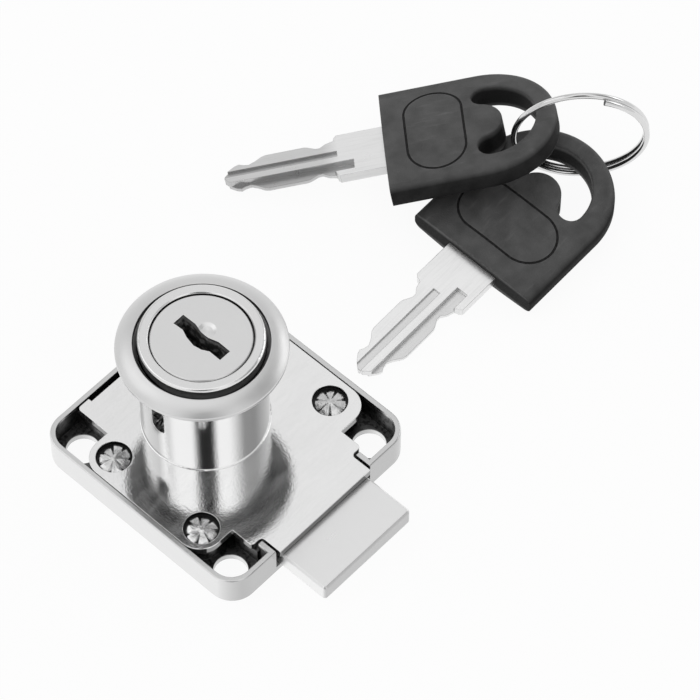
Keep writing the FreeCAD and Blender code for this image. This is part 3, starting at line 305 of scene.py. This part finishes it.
# Case tray: one zinc casting with a thin raised rim, satin plated outside and on top of the rim.
# Inside the rim and in the corner recesses the casting is darkened and speckled: painted shade.
CASE_LOW, CASE_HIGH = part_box("case_tray")
RIM_WALL = 0.85 * MM
RIM_LIP = 0.1 * MM
RIM_TOP_BAND = 0.5 * MM
CASE_CORNER = 4.0 * MM
SCREW_HOLE_RADIUS = 2.55 * MM
SCREW_HOLE_LIP = 0.1 * MM
SCREW_HOLE_MIDDLE = 0.3 * MM
SCREW_HOLES = [(x * MM, y * MM, SCREW_HOLE_MIDDLE) for x in (-11.1, 19.1) for y in (-14.7, 14.7)]
SHADED_SIDE_WAY = (1, 0, 0)
UPWARDS = (0, 0, 1)


def above(tree, source, edge, soft):
    """A mask that rises from 0 to 1 as the source passes the edge, over twice the soft distance."""
    ramp = add_node(
        tree, "MapRange", {"Value": source, "From Min": edge - soft, "From Max": edge + soft}
    )
    return ramp.outputs["Result"]


def flipped(tree, mask):
    """A mask with black and white exchanged."""
    return calc(tree, "SUBTRACT", 1.0, mask)


def below(tree, source, edge, soft):
    """A mask that falls from 1 to 0 as the source passes the edge, over twice the soft distance."""
    return flipped(tree, above(tree, source, edge, soft))


def both(tree, first, second):
    """White only where both masks are."""
    return calc(tree, "MULTIPLY", first, second)


def distance(tree, place, spot):
    """Distance from a spot on the piece."""
    return add_node(tree, "VectorMath", {0: place, 1: spot}, operation="DISTANCE").outputs["Value"]


def facing(tree, way, edge, soft):
    """A mask of the surfaces that face one way: the edge is the cosine at which it starts."""
    normal = add_node(tree, "NewGeometry").outputs["Normal"]
    alike = add_node(tree, "VectorMath", {0: normal, 1: way}, operation="DOT_PRODUCT")
    return above(tree, alike.outputs["Value"], edge, soft)


def spots(tree, place, scale, low, high, detail=4.0):
    """A noise mask that is 0 below one level of the noise and 1 above another."""
    noise = add_node(
        tree, "TexNoise", {"Vector": place, "Scale": scale, "Detail": detail, "Roughness": 0.6}
    )
    ramp = add_node(
        tree, "MapRange", {"Value": noise.outputs["Fac"], "From Min": low, "From Max": high}
    )
    return ramp.outputs["Result"]


def darken(tree, shader, mask, tone, roughness=None):
    """Where the mask is white, the colour is multiplied by a tone and the finish takes a roughness."""
    colour = shader.inputs["Base Color"].links[0].from_socket
    shade = blend(tree, mask, 1.0, tone)
    dyed = add_node(tree, "VectorMath", {0: colour, "Scale": shade}, operation="SCALE")
    tree.links.new(dyed.outputs["Vector"], shader.inputs["Base Color"])
    if roughness is not None:
        plain = shader.inputs["Roughness"].links[0].from_socket
        tree.links.new(blend(tree, mask, plain, roughness), shader.inputs["Roughness"])


def soften(tree, shader, radius):
    """Rounds the look of crisp edges by this radius, and returns a mask of those edges."""
    rounded = add_node(tree, "Bevel", {"Radius": radius}, samples=6).outputs["Normal"]
    for link in shader.inputs["Normal"].links:
        tree.links.new(rounded, link.from_node.inputs["Normal"])
    true = add_node(tree, "NewGeometry").outputs["Normal"]
    alike = add_node(tree, "VectorMath", {0: rounded, 1: true}, operation="DOT_PRODUCT")
    return below(tree, alike.outputs["Value"], edge=0.95, soft=0.04)


def paint(node, material):
    """Gives a CAD node its finish."""
    data = nodes[node].data
    data.materials.clear()
    data.materials.append(material)


material, tree, shader, place = plate_metal(
    "case_satin_plate",
    tone=0.83,
    roughness=0.24,
    drift=0.05,
    cloud=220,
    pit=1800,
    pit_depth=0.04 * MM,
    pit_strength=0.25,
)
parts = apart(tree, place)
overhangs = []
for source, low, high in (
    (parts["X"], CASE_LOW[0], CASE_HIGH[0]),
    (parts["Y"], CASE_LOW[1], CASE_HIGH[1]),
):
    span = calc(tree, "ABSOLUTE", calc(tree, "SUBTRACT", source, (low + high) / 2))
    overhangs.append(calc(tree, "SUBTRACT", span, (high - low) / 2 - CASE_CORNER))
straight = calc(tree, "MAXIMUM", *overhangs)
squares = [calc(tree, "POWER", calc(tree, "MAXIMUM", past, 0.0), 2.0) for past in overhangs]
corner = calc(tree, "SQRT", calc(tree, "ADD", *squares))
reach = calc(tree, "MAXIMUM", straight, corner)
inside = below(tree, reach, edge=CASE_CORNER - RIM_WALL + RIM_LIP, soft=0.08 * MM)
deep = below(tree, parts["Z"], edge=CASE_HIGH[2] - RIM_TOP_BAND, soft=0.3 * MM)
recess_shade = both(tree, inside, deep)
for spot in SCREW_HOLES:
    away = distance(tree, place, spot)
    past_hole = above(tree, away, edge=SCREW_HOLE_RADIUS + SCREW_HOLE_LIP, soft=0.03 * MM)
    recess_shade = both(tree, recess_shade, past_hole)
# Painted shade: the recesses inside the rim are darkened, with darker specks, and their finish is
# rougher.
darken(tree, shader, recess_shade, tone=0.20, roughness=0.38)
darken(tree, shader, both(tree, recess_shade, spots(tree, place, scale=1500, low=0.5, high=0.6)), tone=0.35)
# Painted shade: faces that turn towards the bolt's end are darkened.
darken(tree, shader, facing(tree, SHADED_SIDE_WAY, edge=0.55, soft=0.35), tone=0.62)
# Painted shade: upward faces are a little darker.
darken(tree, shader, facing(tree, UPWARDS, edge=0.85, soft=0.1), tone=0.86)
soften(tree, shader, radius=0.12 * MM)
paint("case_tray", material)

# Bolt: a flat satin plated steel plate that slides on the floor of the case. Its end face, which
# enters the cabinet, is darker than its top: painted shade.
material, tree, shader, place = plate_metal(
    "bolt_plate",
    tone=0.92,
    roughness=0.30,
    cloud=200,
    pit=3600,
    pit_depth=0.02 * MM,
)
# Painted shade on the end face and faces turned the same way.
darken(tree, shader, facing(tree, SHADED_SIDE_WAY, edge=0.55, soft=0.35), tone=0.58)
soften(tree, shader, radius=0.12 * MM)
paint("bolt", material)

# Cover plate and barrel: one zinc casting, polished and bright plated, with the fine orange peel and
# pits of a cheap polish. It closes the case; the barrel's thin neck is rougher and has painted shade.
COVER_TOP = 5.4 * MM
COVER_WALL_TOP = COVER_TOP - 0.14 * MM
BARREL_RADIUS = 9.5 * MM
BARREL_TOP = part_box("cover_barrel")[1][2]
NECK_LOW = 21.5 * MM
NECK_HIGH = BARREL_TOP - 0.42 * MM
END_FACE_LOW = BARREL_TOP - 0.5 * MM
SHOULDER_RADIUS = BARREL_RADIUS - 0.16 * MM
COUNTERBORE_REACH = 2.95 * MM
COUNTERBORE_TOP = COVER_TOP - 0.06 * MM
POLISH_TURN = 0.9
POLISH_STRETCH = (1.0, 0.3, 1.0)
DULLER_SHADED_SIDE = (-0.732, -0.681, 0.0)
RIVET_SPOTS = [
    (-4.75 * MM, -14.3 * MM),
    (-4.75 * MM, 14.3 * MM),
    (13.0 * MM, -14.3 * MM),
    (11.6 * MM, 14.3 * MM),
]


def from_axis(tree, place):
    """Distance from the barrel's axis."""
    level = add_node(tree, "VectorMath", {0: place, 1: (1.0, 1.0, 0.0)}, operation="MULTIPLY")
    length = add_node(tree, "VectorMath", {0: level.outputs["Vector"]}, operation="LENGTH")
    return length.outputs["Value"]


material, tree, shader, place = plate_metal(
    "cover_polish",
    tone=0.93,
    roughness=0.055,
    drift=0.03,
    cloud=120,
    pit=2400,
    pit_depth=0.05 * MM,
    pit_strength=0.22,
)
height = apart(tree, place)["Z"]
flat = below(tree, height, edge=COVER_TOP + 0.08 * MM, soft=0.05 * MM)
streaks = add_node(
    tree, "Mapping", {"Vector": place, "Rotation": (0, 0, POLISH_TURN), "Scale": POLISH_STRETCH}
)
haze = spots(tree, streaks.outputs["Vector"], scale=500, low=0.35, high=0.75, detail=6.0)
haze = add_node(tree, "MapRange", {"Value": haze, "To Min": 0.97, "To Max": 0.80}).outputs["Result"]
direct = both(tree, flat, add_node(tree, "LightPath").outputs["Is Camera Ray"])
tree.links.new(blend(tree, direct, 1.0, haze), shader.inputs["Metallic"])
neck_gap_shade = both(
    tree,
    above(tree, height, edge=NECK_LOW, soft=0.1 * MM),
    below(tree, height, edge=NECK_HIGH, soft=0.04 * MM),
)
# Painted shade: the neck in the gap under the trim ring is darkened.
darken(tree, shader, neck_gap_shade, tone=0.20, roughness=0.4)
# Painted shade: the cover plate's side walls, below its top face, are darkened.
darken(tree, shader, below(tree, height, edge=COVER_WALL_TOP, soft=0.04 * MM), tone=0.30)
end_face = above(tree, height, edge=END_FACE_LOW, soft=0.1 * MM)
darken(tree, shader, end_face, tone=0.90, roughness=0.2)
# Painted shade: the outer edge of the barrel's end, at the gap by the trim ring, is darkened.
shoulder = above(tree, from_axis(tree, place), edge=SHOULDER_RADIUS, soft=0.1 * MM)
darken(tree, shader, both(tree, end_face, shoulder), tone=0.12)
# Painted shade: the counterbore walls round each rivet are darkened, with a rougher finish.
for x, y in RIVET_SPOTS:
    away = distance(tree, place, (x, y, COVER_TOP))
    near_rivet = below(tree, away, edge=COUNTERBORE_REACH, soft=0.02 * MM)
    sunk = below(tree, height, edge=COUNTERBORE_TOP, soft=0.03 * MM)
    darken(tree, shader, both(tree, near_rivet, sunk), tone=0.12, roughness=0.4)
# The barrel's faces that turn this way are a little rougher and darkened: painted shade.
duller_and_shaded = both(tree, facing(tree, DULLER_SHADED_SIDE, edge=0.62, soft=0.08), flipped(tree, flat))
darken(tree, shader, duller_and_shaded, tone=0.50, roughness=0.18)
soften(tree, shader, radius=0.13 * MM)
paint("cover_barrel", material)

# Pieces inside the plug: the pin that drives the bolt and the springs are steel, and the five wafers
# and the pin that holds the plug in the barrel are plated brass. They show only through the keyway.
WAFERS = 5
steel = plate_metal("plain_steel", tone=0.4, roughness=0.35)[0]
pin_metal = plate_metal("plain_pin", tone=0.5, roughness=0.35)[0]
paint("drive_pin", steel)
paint("retaining_spring", steel)
paint("retaining_pin", pin_metal)
for number in range(1, WAFERS + 1):
    paint("wafer_%d" % number, pin_metal)
    paint("wafer_spring_%d" % number, steel)

# Plug: a turned cylinder that fits in the barrel with a thin gap. Its face is satin plated, and
# behind the face and in the keyway the surface is darker, not metallic and rougher, with dark specks.
PLUG_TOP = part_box("plug")[1][2]
FACE_DEPTH = 0.8 * MM
material, tree, shader, place = plate_metal(
    "plug_satin",
    tone=0.82,
    roughness=0.32,
    cloud=300,
    pit=5200,
    pit_depth=0.02 * MM,
    pit_strength=0.35,
)
deep = below(tree, apart(tree, place)["Z"], edge=PLUG_TOP - FACE_DEPTH, soft=0.5 * MM)
darken(tree, shader, deep, tone=0.42, roughness=0.5)
darken(tree, shader, both(tree, deep, spots(tree, place, scale=900, low=0.38, high=0.52)), tone=0.10)
tree.links.new(flipped(tree, deep), shader.inputs["Metallic"])
soften(tree, shader, radius=0.06 * MM)
paint("plug", material)

# Rivets: four soft metal rivets that hold the cover on the case. Each was staked cold with a star
# punch, so its end is pressed into uneven petals with notches between them.
STAR_RADIUS = 2.4 * MM
STAR_TOP = 5.14 * MM
STAR_FOOT = 4.5 * MM
STAR_PETALS = 7
PETAL_STEPS = 14
STAR_STEPS = STAR_PETALS * PETAL_STEPS
STAR_RINGS = 14
PETAL_TILT = 0.25
PETAL_LEAN = 0.3
NOTCH_DEPTH = 0.4 * MM
NOTCH_SHARE = 0.14
NOTCH_START = 0.2
NOTCH_RUN = 0.3
NOTCH_PULL = 0.07
CENTRE_BUMP = 0.1 * MM
CENTRE_SHARE = 0.2
RIM_FALL = 0.2 * MM
HIGHEST = 0.12 * MM
SHANK_RADIUS = 1.38 * MM
HEAD_RADIUS = 2.19 * MM
HEAD_TOP = 0.79 * MM
HEAD_BOTTOM = 0.01 * MM
RIVET_SMOOTH = 25


def add_circle(name, **how):
    """A circle with its place and turn in its mesh."""
    bpy.ops.object.select_all(action="DESELECT")
    bpy.ops.mesh.primitive_circle_add(**how)
    made = bpy.context.object
    made.name = name
    bpy.ops.object.transform_apply()
    return made


def open_mesh(piece):
    """Opens one piece in edit mode, with all of it selected."""
    bpy.ops.object.select_all(action="DESELECT")
    piece.select_set(True)
    bpy.context.view_layer.objects.active = piece
    bpy.ops.object.mode_set(mode="EDIT")
    bpy.ops.mesh.select_all(action="SELECT")


def close_mesh():
    """Turns the faces of the open piece outwards and leaves edit mode."""
    bpy.ops.mesh.select_all(action="SELECT")
    bpy.ops.mesh.normals_make_consistent(inside=False)
    bpy.ops.object.mode_set(mode="OBJECT")


def smooth(piece, degrees):
    """Smooth shading, with edges sharper than this angle left crisp."""
    bpy.ops.object.select_all(action="DESELECT")
    piece.select_set(True)
    bpy.context.view_layer.objects.active = piece
    bpy.ops.object.shade_smooth_by_angle(angle=math.radians(degrees))
    piece.select_set(False)


def bruise(share, across, tilt, lean):
    """Height and notch of the staked end, at a share of its radius and of the way across a petal."""
    notch = max(0.0, 1 - min(across, 1 - across) / NOTCH_SHARE)
    notch *= min(1.0, max(0.0, share - NOTCH_START) / NOTCH_RUN)
    height = -NOTCH_DEPTH * notch + tilt * (across - 0.5) * share * MM - lean * share * share * MM
    height += CENTRE_BUMP * math.exp(-((share / CENTRE_SHARE) ** 2)) - RIM_FALL * share**6
    return min(height, HIGHEST), notch


def extrude_rim(middle, widen, drop):
    """Extrudes the selected rim, lowers it and widens it about the middle."""
    bpy.ops.mesh.extrude_region_move(TRANSFORM_OT_translate={"value": (0, 0, -drop)})
    bpy.ops.transform.resize(value=(widen, widen, 1), center_override=middle)


rivet_material, tree, shader, place = plate_metal(
    "rivet_plate",
    tone=0.72,
    roughness=0.2,
    drift=0.6,
    cloud=700,
    pit=1500,
    pit_depth=0.15 * MM,
    pit_strength=0.6,
)
dice = random.Random(8)
for number, (x, y) in enumerate(RIVET_SPOTS, start=1):
    offset = dice.uniform(0, math.pi)
    petals = [
        (dice.uniform(-PETAL_TILT, PETAL_TILT), dice.uniform(0.0, PETAL_LEAN))
        for petal in range(STAR_PETALS)
    ]
    middle = Vector((x, y, STAR_TOP))
    rivet = add_circle(
        "rivet_%d" % number,
        vertices=STAR_STEPS,
        radius=STAR_RADIUS,
        fill_type="NGON",
        location=middle,
        rotation=(0, 0, offset - math.pi / 2),
    )
    open_mesh(rivet)
    for ring in range(1, STAR_RINGS):
        bpy.ops.mesh.inset(thickness=STAR_RADIUS / STAR_RINGS)
    bpy.ops.object.mode_set(mode="OBJECT")
    for point in rivet.data.vertices:
        away = point.co - middle
        step = round((math.atan2(away.y, away.x) - offset) / (2 * math.pi) * STAR_STEPS) % STAR_STEPS
        petal, inner = divmod(step, PETAL_STEPS)
        height, notch = bruise(away.length / STAR_RADIUS, inner / PETAL_STEPS, *petals[petal])
        away.z = height
        away.xy *= 1 - NOTCH_PULL * notch
        point.co = middle + away
    open_mesh(rivet)
    bpy.ops.mesh.select_all(action="DESELECT")
    bpy.ops.mesh.select_non_manifold()
    extrude_rim(middle, widen=1, drop=STAR_TOP - STAR_FOOT)
    bpy.ops.transform.resize(value=(1, 1, 0), center_override=(x, y, STAR_FOOT))
    extrude_rim(middle, widen=SHANK_RADIUS / STAR_RADIUS, drop=0)
    extrude_rim(middle, widen=1, drop=STAR_FOOT - HEAD_TOP)
    extrude_rim(middle, widen=HEAD_RADIUS / SHANK_RADIUS, drop=0)
    extrude_rim(middle, widen=1, drop=HEAD_TOP - HEAD_BOTTOM)
    bpy.ops.mesh.edge_face_add()
    close_mesh()
    rivet.data.materials.append(rivet_material)
    smooth(rivet, RIVET_SMOOTH)
    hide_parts("cover_rivets")
    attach(rivet, "case")
paint("cover_rivets", rivet_material)

# Trim ring: a domed ring, satin plated, that is pushed on the barrel's neck from outside the drawer.
# Its bore and its underside are rougher and darkened: painted shade.
TRIM_BORE = 9.9 * MM
material, tree, shader, place = plate_metal(
    "trim_satin",
    tone=0.75,
    roughness=0.38,
    drift=0.03,
    cloud=260,
    pit=4200,
    pit_depth=0.02 * MM,
    pit_strength=0.2,
)
# Painted shade: the downward faces are darkened.
underside_shade = flipped(tree, facing(tree, UPWARDS, edge=-0.5, soft=0.2))
darken(tree, shader, underside_shade, tone=0.12, roughness=0.4)
# Painted shade: the steep walls of the bore are darkened, for the dark gap round the barrel.
bore_shade = below(tree, from_axis(tree, place), edge=TRIM_BORE, soft=0.04 * MM)
steep = flipped(tree, facing(tree, UPWARDS, edge=0.6, soft=0.15))
darken(tree, shader, both(tree, bore_shade, steep), tone=0.05, roughness=0.5)
soften(tree, shader, radius=0.08 * MM)
paint("trim_ring", material)

# Key blades: stamped brass, nickel plated, finely brushed along their length, with milled grooves.
# Each key lies as in the photograph: x, y, z in mm, then its turn, tilt and roll in degrees.
KEY_POSES = {
    1: (-12.994, 53.113, 6.456, 49.276, -9.95, -12.151),
    2: (9.236, 48.329, 2.877, 90.321, -4.459, 3.068),
}
MILLED_FROM = -8.5 * MM
GROOVE_LEVEL = 0.66 * MM
MILLED_AND_SHADE_TONES = {1: 0.78, 2: 0.98}
GROOVE_SHADE_TONES = {1: 0.72, 2: 0.84}


def key_place(tree, place, number):
    """Coordinates along, across and through a key, with their origin where blade and bow meet."""
    x, y, z, turn, tilt, roll = KEY_POSES[number]
    lying = add_node(
        tree,
        "Mapping",
        {
            "Vector": place,
            "Location": (x * MM, y * MM, z * MM),
            "Rotation": tuple(math.radians(angle) for angle in (roll, tilt, turn)),
        },
        vector_type="TEXTURE",
    )
    return lying.outputs["Vector"]


for number in KEY_POSES:
    material, tree, shader, place = plate_metal(
        "blade_nickel_%d" % number,
        tone=0.98,
        roughness=0.30,
        cloud=400,
        pit=3000,
        pit_depth=0.03 * MM,
        pit_strength=0.4,
    )
    along = key_place(tree, place, number)
    parts = apart(tree, along)
    # Darker from the milled part onward: partly the milled finish, partly painted shade, stronger on key
    # 1.
    milled_and_shaded = below(tree, parts["X"], edge=MILLED_FROM, soft=1.2 * MM)
    darken(tree, shader, milled_and_shaded, tone=MILLED_AND_SHADE_TONES[number])
    # Painted shade: the milled grooves are darkened, more on key 1 than on key 2.
    blade_groove_shade = below(tree, calc(tree, "ABSOLUTE", parts["Z"]), edge=GROOVE_LEVEL, soft=0.05 * MM)
    darken(tree, shader, blade_groove_shade, tone=GROOVE_SHADE_TONES[number])
    brushed = add_node(tree, "Mapping", {"Vector": along, "Scale": (0.05, 1.0, 1.0)}).outputs["Vector"]
    darken(tree, shader, spots(tree, brushed, scale=3500, low=0.45, high=0.75), tone=0.92)
    edges = soften(tree, shader, radius=0.14 * MM)
    # Painted shade: dark lines along the blade's edges.
    darken(tree, shader, edges, tone=0.50)
    paint("key_%d_blade" % number, material)

# Bows: black plastic moulded over the blades' tangs, matte with a fine grain, scuffed on the faces
# and paler on the edges, partly from wear and partly as a painted highlight. An outline is sunk in the
# upper face, with straight sides and round ends, and its groove is darker: painted shade.
OUTLINE_MIDDLE = 8.03 * MM
OUTLINE_ROUND = 4.525 * MM
OUTLINE_REACH = 8.55 * MM
OUTLINE_LINE = 0.20 * MM
OUTLINE_RISE = 0.03 * MM
OUTLINE_SIDES = 162
OUTLINE_CUTS = 20
LINE_ROUNDNESS = 4
BOW_HALF = 11.7 * MM
BOW_THICK = 4.9 * MM
BOW_SAG = 0.8 * MM
CROWN_RADIUS = (BOW_HALF**2 + BOW_SAG**2) / (2 * BOW_SAG)
FACE_LEVEL = 1.55 * MM
SCUFF_TURN = 0.5
MERGE = 0.001 * MM
BOW_SMOOTH = 35

groove_material, tree, shader, place = new_material("bow_outline")
shader.inputs["Specular IOR Level"].default_value = 0.2
shader.inputs["Roughness"].default_value = 0.7
# Painted shade: the sunk outline is darker than the face, in a noisy tone.
outline_shade = add_node(tree, "TexNoise", {"Vector": place, "Scale": 2500.0, "Detail": 3.0}).outputs["Fac"]
tree.links.new(add_ramp(tree, outline_shade, [(0.35, 0.010), (0.75, 0.030)]), shader.inputs["Base Color"])


def bow_plastic(number):
    """The moulded plastic of one bow: worn faces, walls darkened as painted shade, and edges paled
    partly by wear, partly as painted highlight.
    """
    material, tree, shader, place = new_material("bow_plastic_%d" % number)
    along = key_place(tree, place, number)
    depth = calc(tree, "ABSOLUTE", apart(tree, along)["Z"])
    face = above(tree, depth, edge=FACE_LEVEL, soft=0.35 * MM)
    shine = add_node(tree, "MapRange", {"Value": face, "To Min": 0.06, "To Max": 0.60})
    tree.links.new(shine.outputs["Result"], shader.inputs["Specular IOR Level"])
    cloud = add_node(tree, "TexNoise", {"Vector": place, "Scale": 350.0, "Detail": 4.0}).outputs["Fac"]
    tree.links.new(add_ramp(tree, cloud, [(0.3, 0.042), (0.7, 0.081)]), shader.inputs["Base Color"])
    dull = add_node(tree, "MapRange", {"Value": cloud, "To Min": 0.55, "To Max": 0.72})
    tree.links.new(dull.outputs["Result"], shader.inputs["Roughness"])
    grain = add_node(tree, "TexNoise", {"Vector": place, "Scale": 5000.0, "Detail": 2.0}).outputs["Fac"]
    bump = add_node(tree, "Bump", {"Height": grain, "Strength": 0.8, "Distance": 0.06 * MM})
    tree.links.new(bump.outputs["Normal"], shader.inputs["Normal"])
    edges = soften(tree, shader, radius=0.3 * MM)
    scuffs = add_node(
        tree, "Mapping", {"Vector": along, "Rotation": (0, 0, SCUFF_TURN), "Scale": (0.25, 1.6, 1.0)}
    )
    worn = spots(tree, scuffs.outputs["Vector"], scale=600, low=0.56, high=0.74, detail=6.0)
    darken(tree, shader, both(tree, worn, face), tone=1.5)
    # Painted shade: the walls, off the faces, are darkened.
    darken(tree, shader, flipped(tree, face), tone=0.33)
    # Pale edges: partly wear, partly a painted highlight along the rounded rims.
    darken(tree, shader, both(tree, edges, spots(tree, place, scale=700, low=0.35, high=0.65)), tone=1.6)
    return material


def outline_tool(stand):
    """The closed tube that sinks the outline in a bow: it follows the crown of the bow's face."""
    straight = OUTLINE_REACH - OUTLINE_ROUND
    tool = add_circle(
        "outline_tool", vertices=OUTLINE_SIDES, radius=OUTLINE_ROUND, location=(OUTLINE_MIDDLE, 0, 0)
    )
    for point in tool.data.vertices:
        point.co.y += math.copysign(straight, point.co.y)
    open_mesh(tool)
    bpy.ops.mesh.select_all(action="DESELECT")
    bpy.ops.object.mode_set(mode="OBJECT")
    for edge in tool.data.edges:
        first, second = [tool.data.vertices[end].co for end in edge.vertices]
        edge.select = (first - second).length > straight
    bpy.ops.object.mode_set(mode="EDIT")
    bpy.ops.mesh.select_mode(type="EDGE")
    bpy.ops.mesh.subdivide(number_cuts=OUTLINE_CUTS)
    bpy.ops.mesh.select_mode(type="VERT")
    bpy.ops.object.mode_set(mode="OBJECT")
    for point in tool.data.vertices:
        crown = math.sqrt(CROWN_RADIUS**2 - point.co.y**2) - CROWN_RADIUS
        point.co.z = BOW_THICK / 2 + crown + OUTLINE_RISE
    bpy.ops.object.convert(target="CURVE")
    tool.data.bevel_depth = OUTLINE_LINE
    tool.data.bevel_resolution = LINE_ROUNDNESS
    bpy.ops.object.convert(target="MESH")
    open_mesh(tool)
    bpy.ops.mesh.remove_doubles(threshold=MERGE)
    close_mesh()
    tool.data.materials.append(groove_material)
    tool.data.transform(stand)
    return tool


for number, (x, y, z, turn, tilt, roll) in KEY_POSES.items():
    material = bow_plastic(number)
    paint("key_%d_bow" % number, material)
    stand = (
        Matrix.Translation(Vector((x, y, z)) * MM)
        @ Matrix.Rotation(math.radians(turn), 4, "Z")
        @ Matrix.Rotation(math.radians(tilt), 4, "Y")
        @ Matrix.Rotation(math.radians(roll), 4, "X")
    )
    tool = outline_tool(stand)
    plain = nodes["key_%d_bow" % number]
    mesh = plain.data.copy()
    mesh.transform(plain.matrix_world)
    moulded = bpy.data.objects.new("key_%d_bow_moulded" % number, mesh)
    bpy.context.scene.collection.objects.link(moulded)
    open_mesh(moulded)
    bpy.ops.mesh.remove_doubles(threshold=MERGE)
    bpy.ops.object.mode_set(mode="OBJECT")
    cut = moulded.modifiers.new("outline", "BOOLEAN")
    cut.operation = "DIFFERENCE"
    cut.solver = "EXACT"
    cut.object = tool
    cut.material_mode = "TRANSFER"
    bpy.ops.object.modifier_apply(modifier=cut.name)
    bpy.data.objects.remove(tool)
    bpy.ops.mesh.customdata_custom_splitnormals_clear()
    smooth(moulded, BOW_SMOOTH)
    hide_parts("key_%d_bow" % number)
    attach(moulded, "key_%d" % number)

# Split ring: hard bright steel wire, wound a little over one and a half turns, with square-cut ends.
# It is threaded through both bows and stands nearly upright in them.
RING_MIDDLE = (9.022, 72.812, 11.16)
RING_TURN = 43.652
RING_TILT = 92.8
RING_START = -129.807
RING_RADIUS = 10.1 * MM
RING_WIRE = 0.47 * MM
RING_PITCH = 0.98 * MM
RING_TURNS = 1.56
RING_RISE = RING_PITCH * RING_TURNS
RING_STEPS = 300
WIRE_SIDES = 18
WIRE_SMOOTH = 40
material, tree, shader, place = plate_metal(
    "ring_chrome",
    tone=0.72,
    roughness=0.12,
    drift=0.05,
    cloud=300,
    pit=2000,
    pit_depth=0.02 * MM,
    pit_strength=0.2,
)
wire = add_circle(
    "split_ring_wire",
    vertices=WIRE_SIDES,
    radius=RING_WIRE,
    location=(RING_RADIUS, 0, -RING_RISE / 2),
    rotation=(math.pi / 2, 0, 0),
)
winding = wire.modifiers.new("winding", "SCREW")
winding.angle = 2 * math.pi * RING_TURNS
winding.screw_offset = RING_RISE
winding.steps = RING_STEPS
winding.render_steps = RING_STEPS
bpy.ops.object.modifier_apply(modifier=winding.name)
open_mesh(wire)
bpy.ops.mesh.fill_holes(sides=0)
close_mesh()
wire.data.transform(
    Matrix.Translation(Vector(RING_MIDDLE) * MM)
    @ Matrix.Rotation(math.radians(RING_TURN), 4, "Z")
    @ Matrix.Rotation(math.radians(RING_TILT), 4, "X")
    @ Matrix.Rotation(math.radians(RING_START), 4, "Z")
)
wire.data.materials.append(material)
smooth(wire, WIRE_SMOOTH)
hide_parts("split_ring")
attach(wire, "split_ring")
paint("split_ring", material)
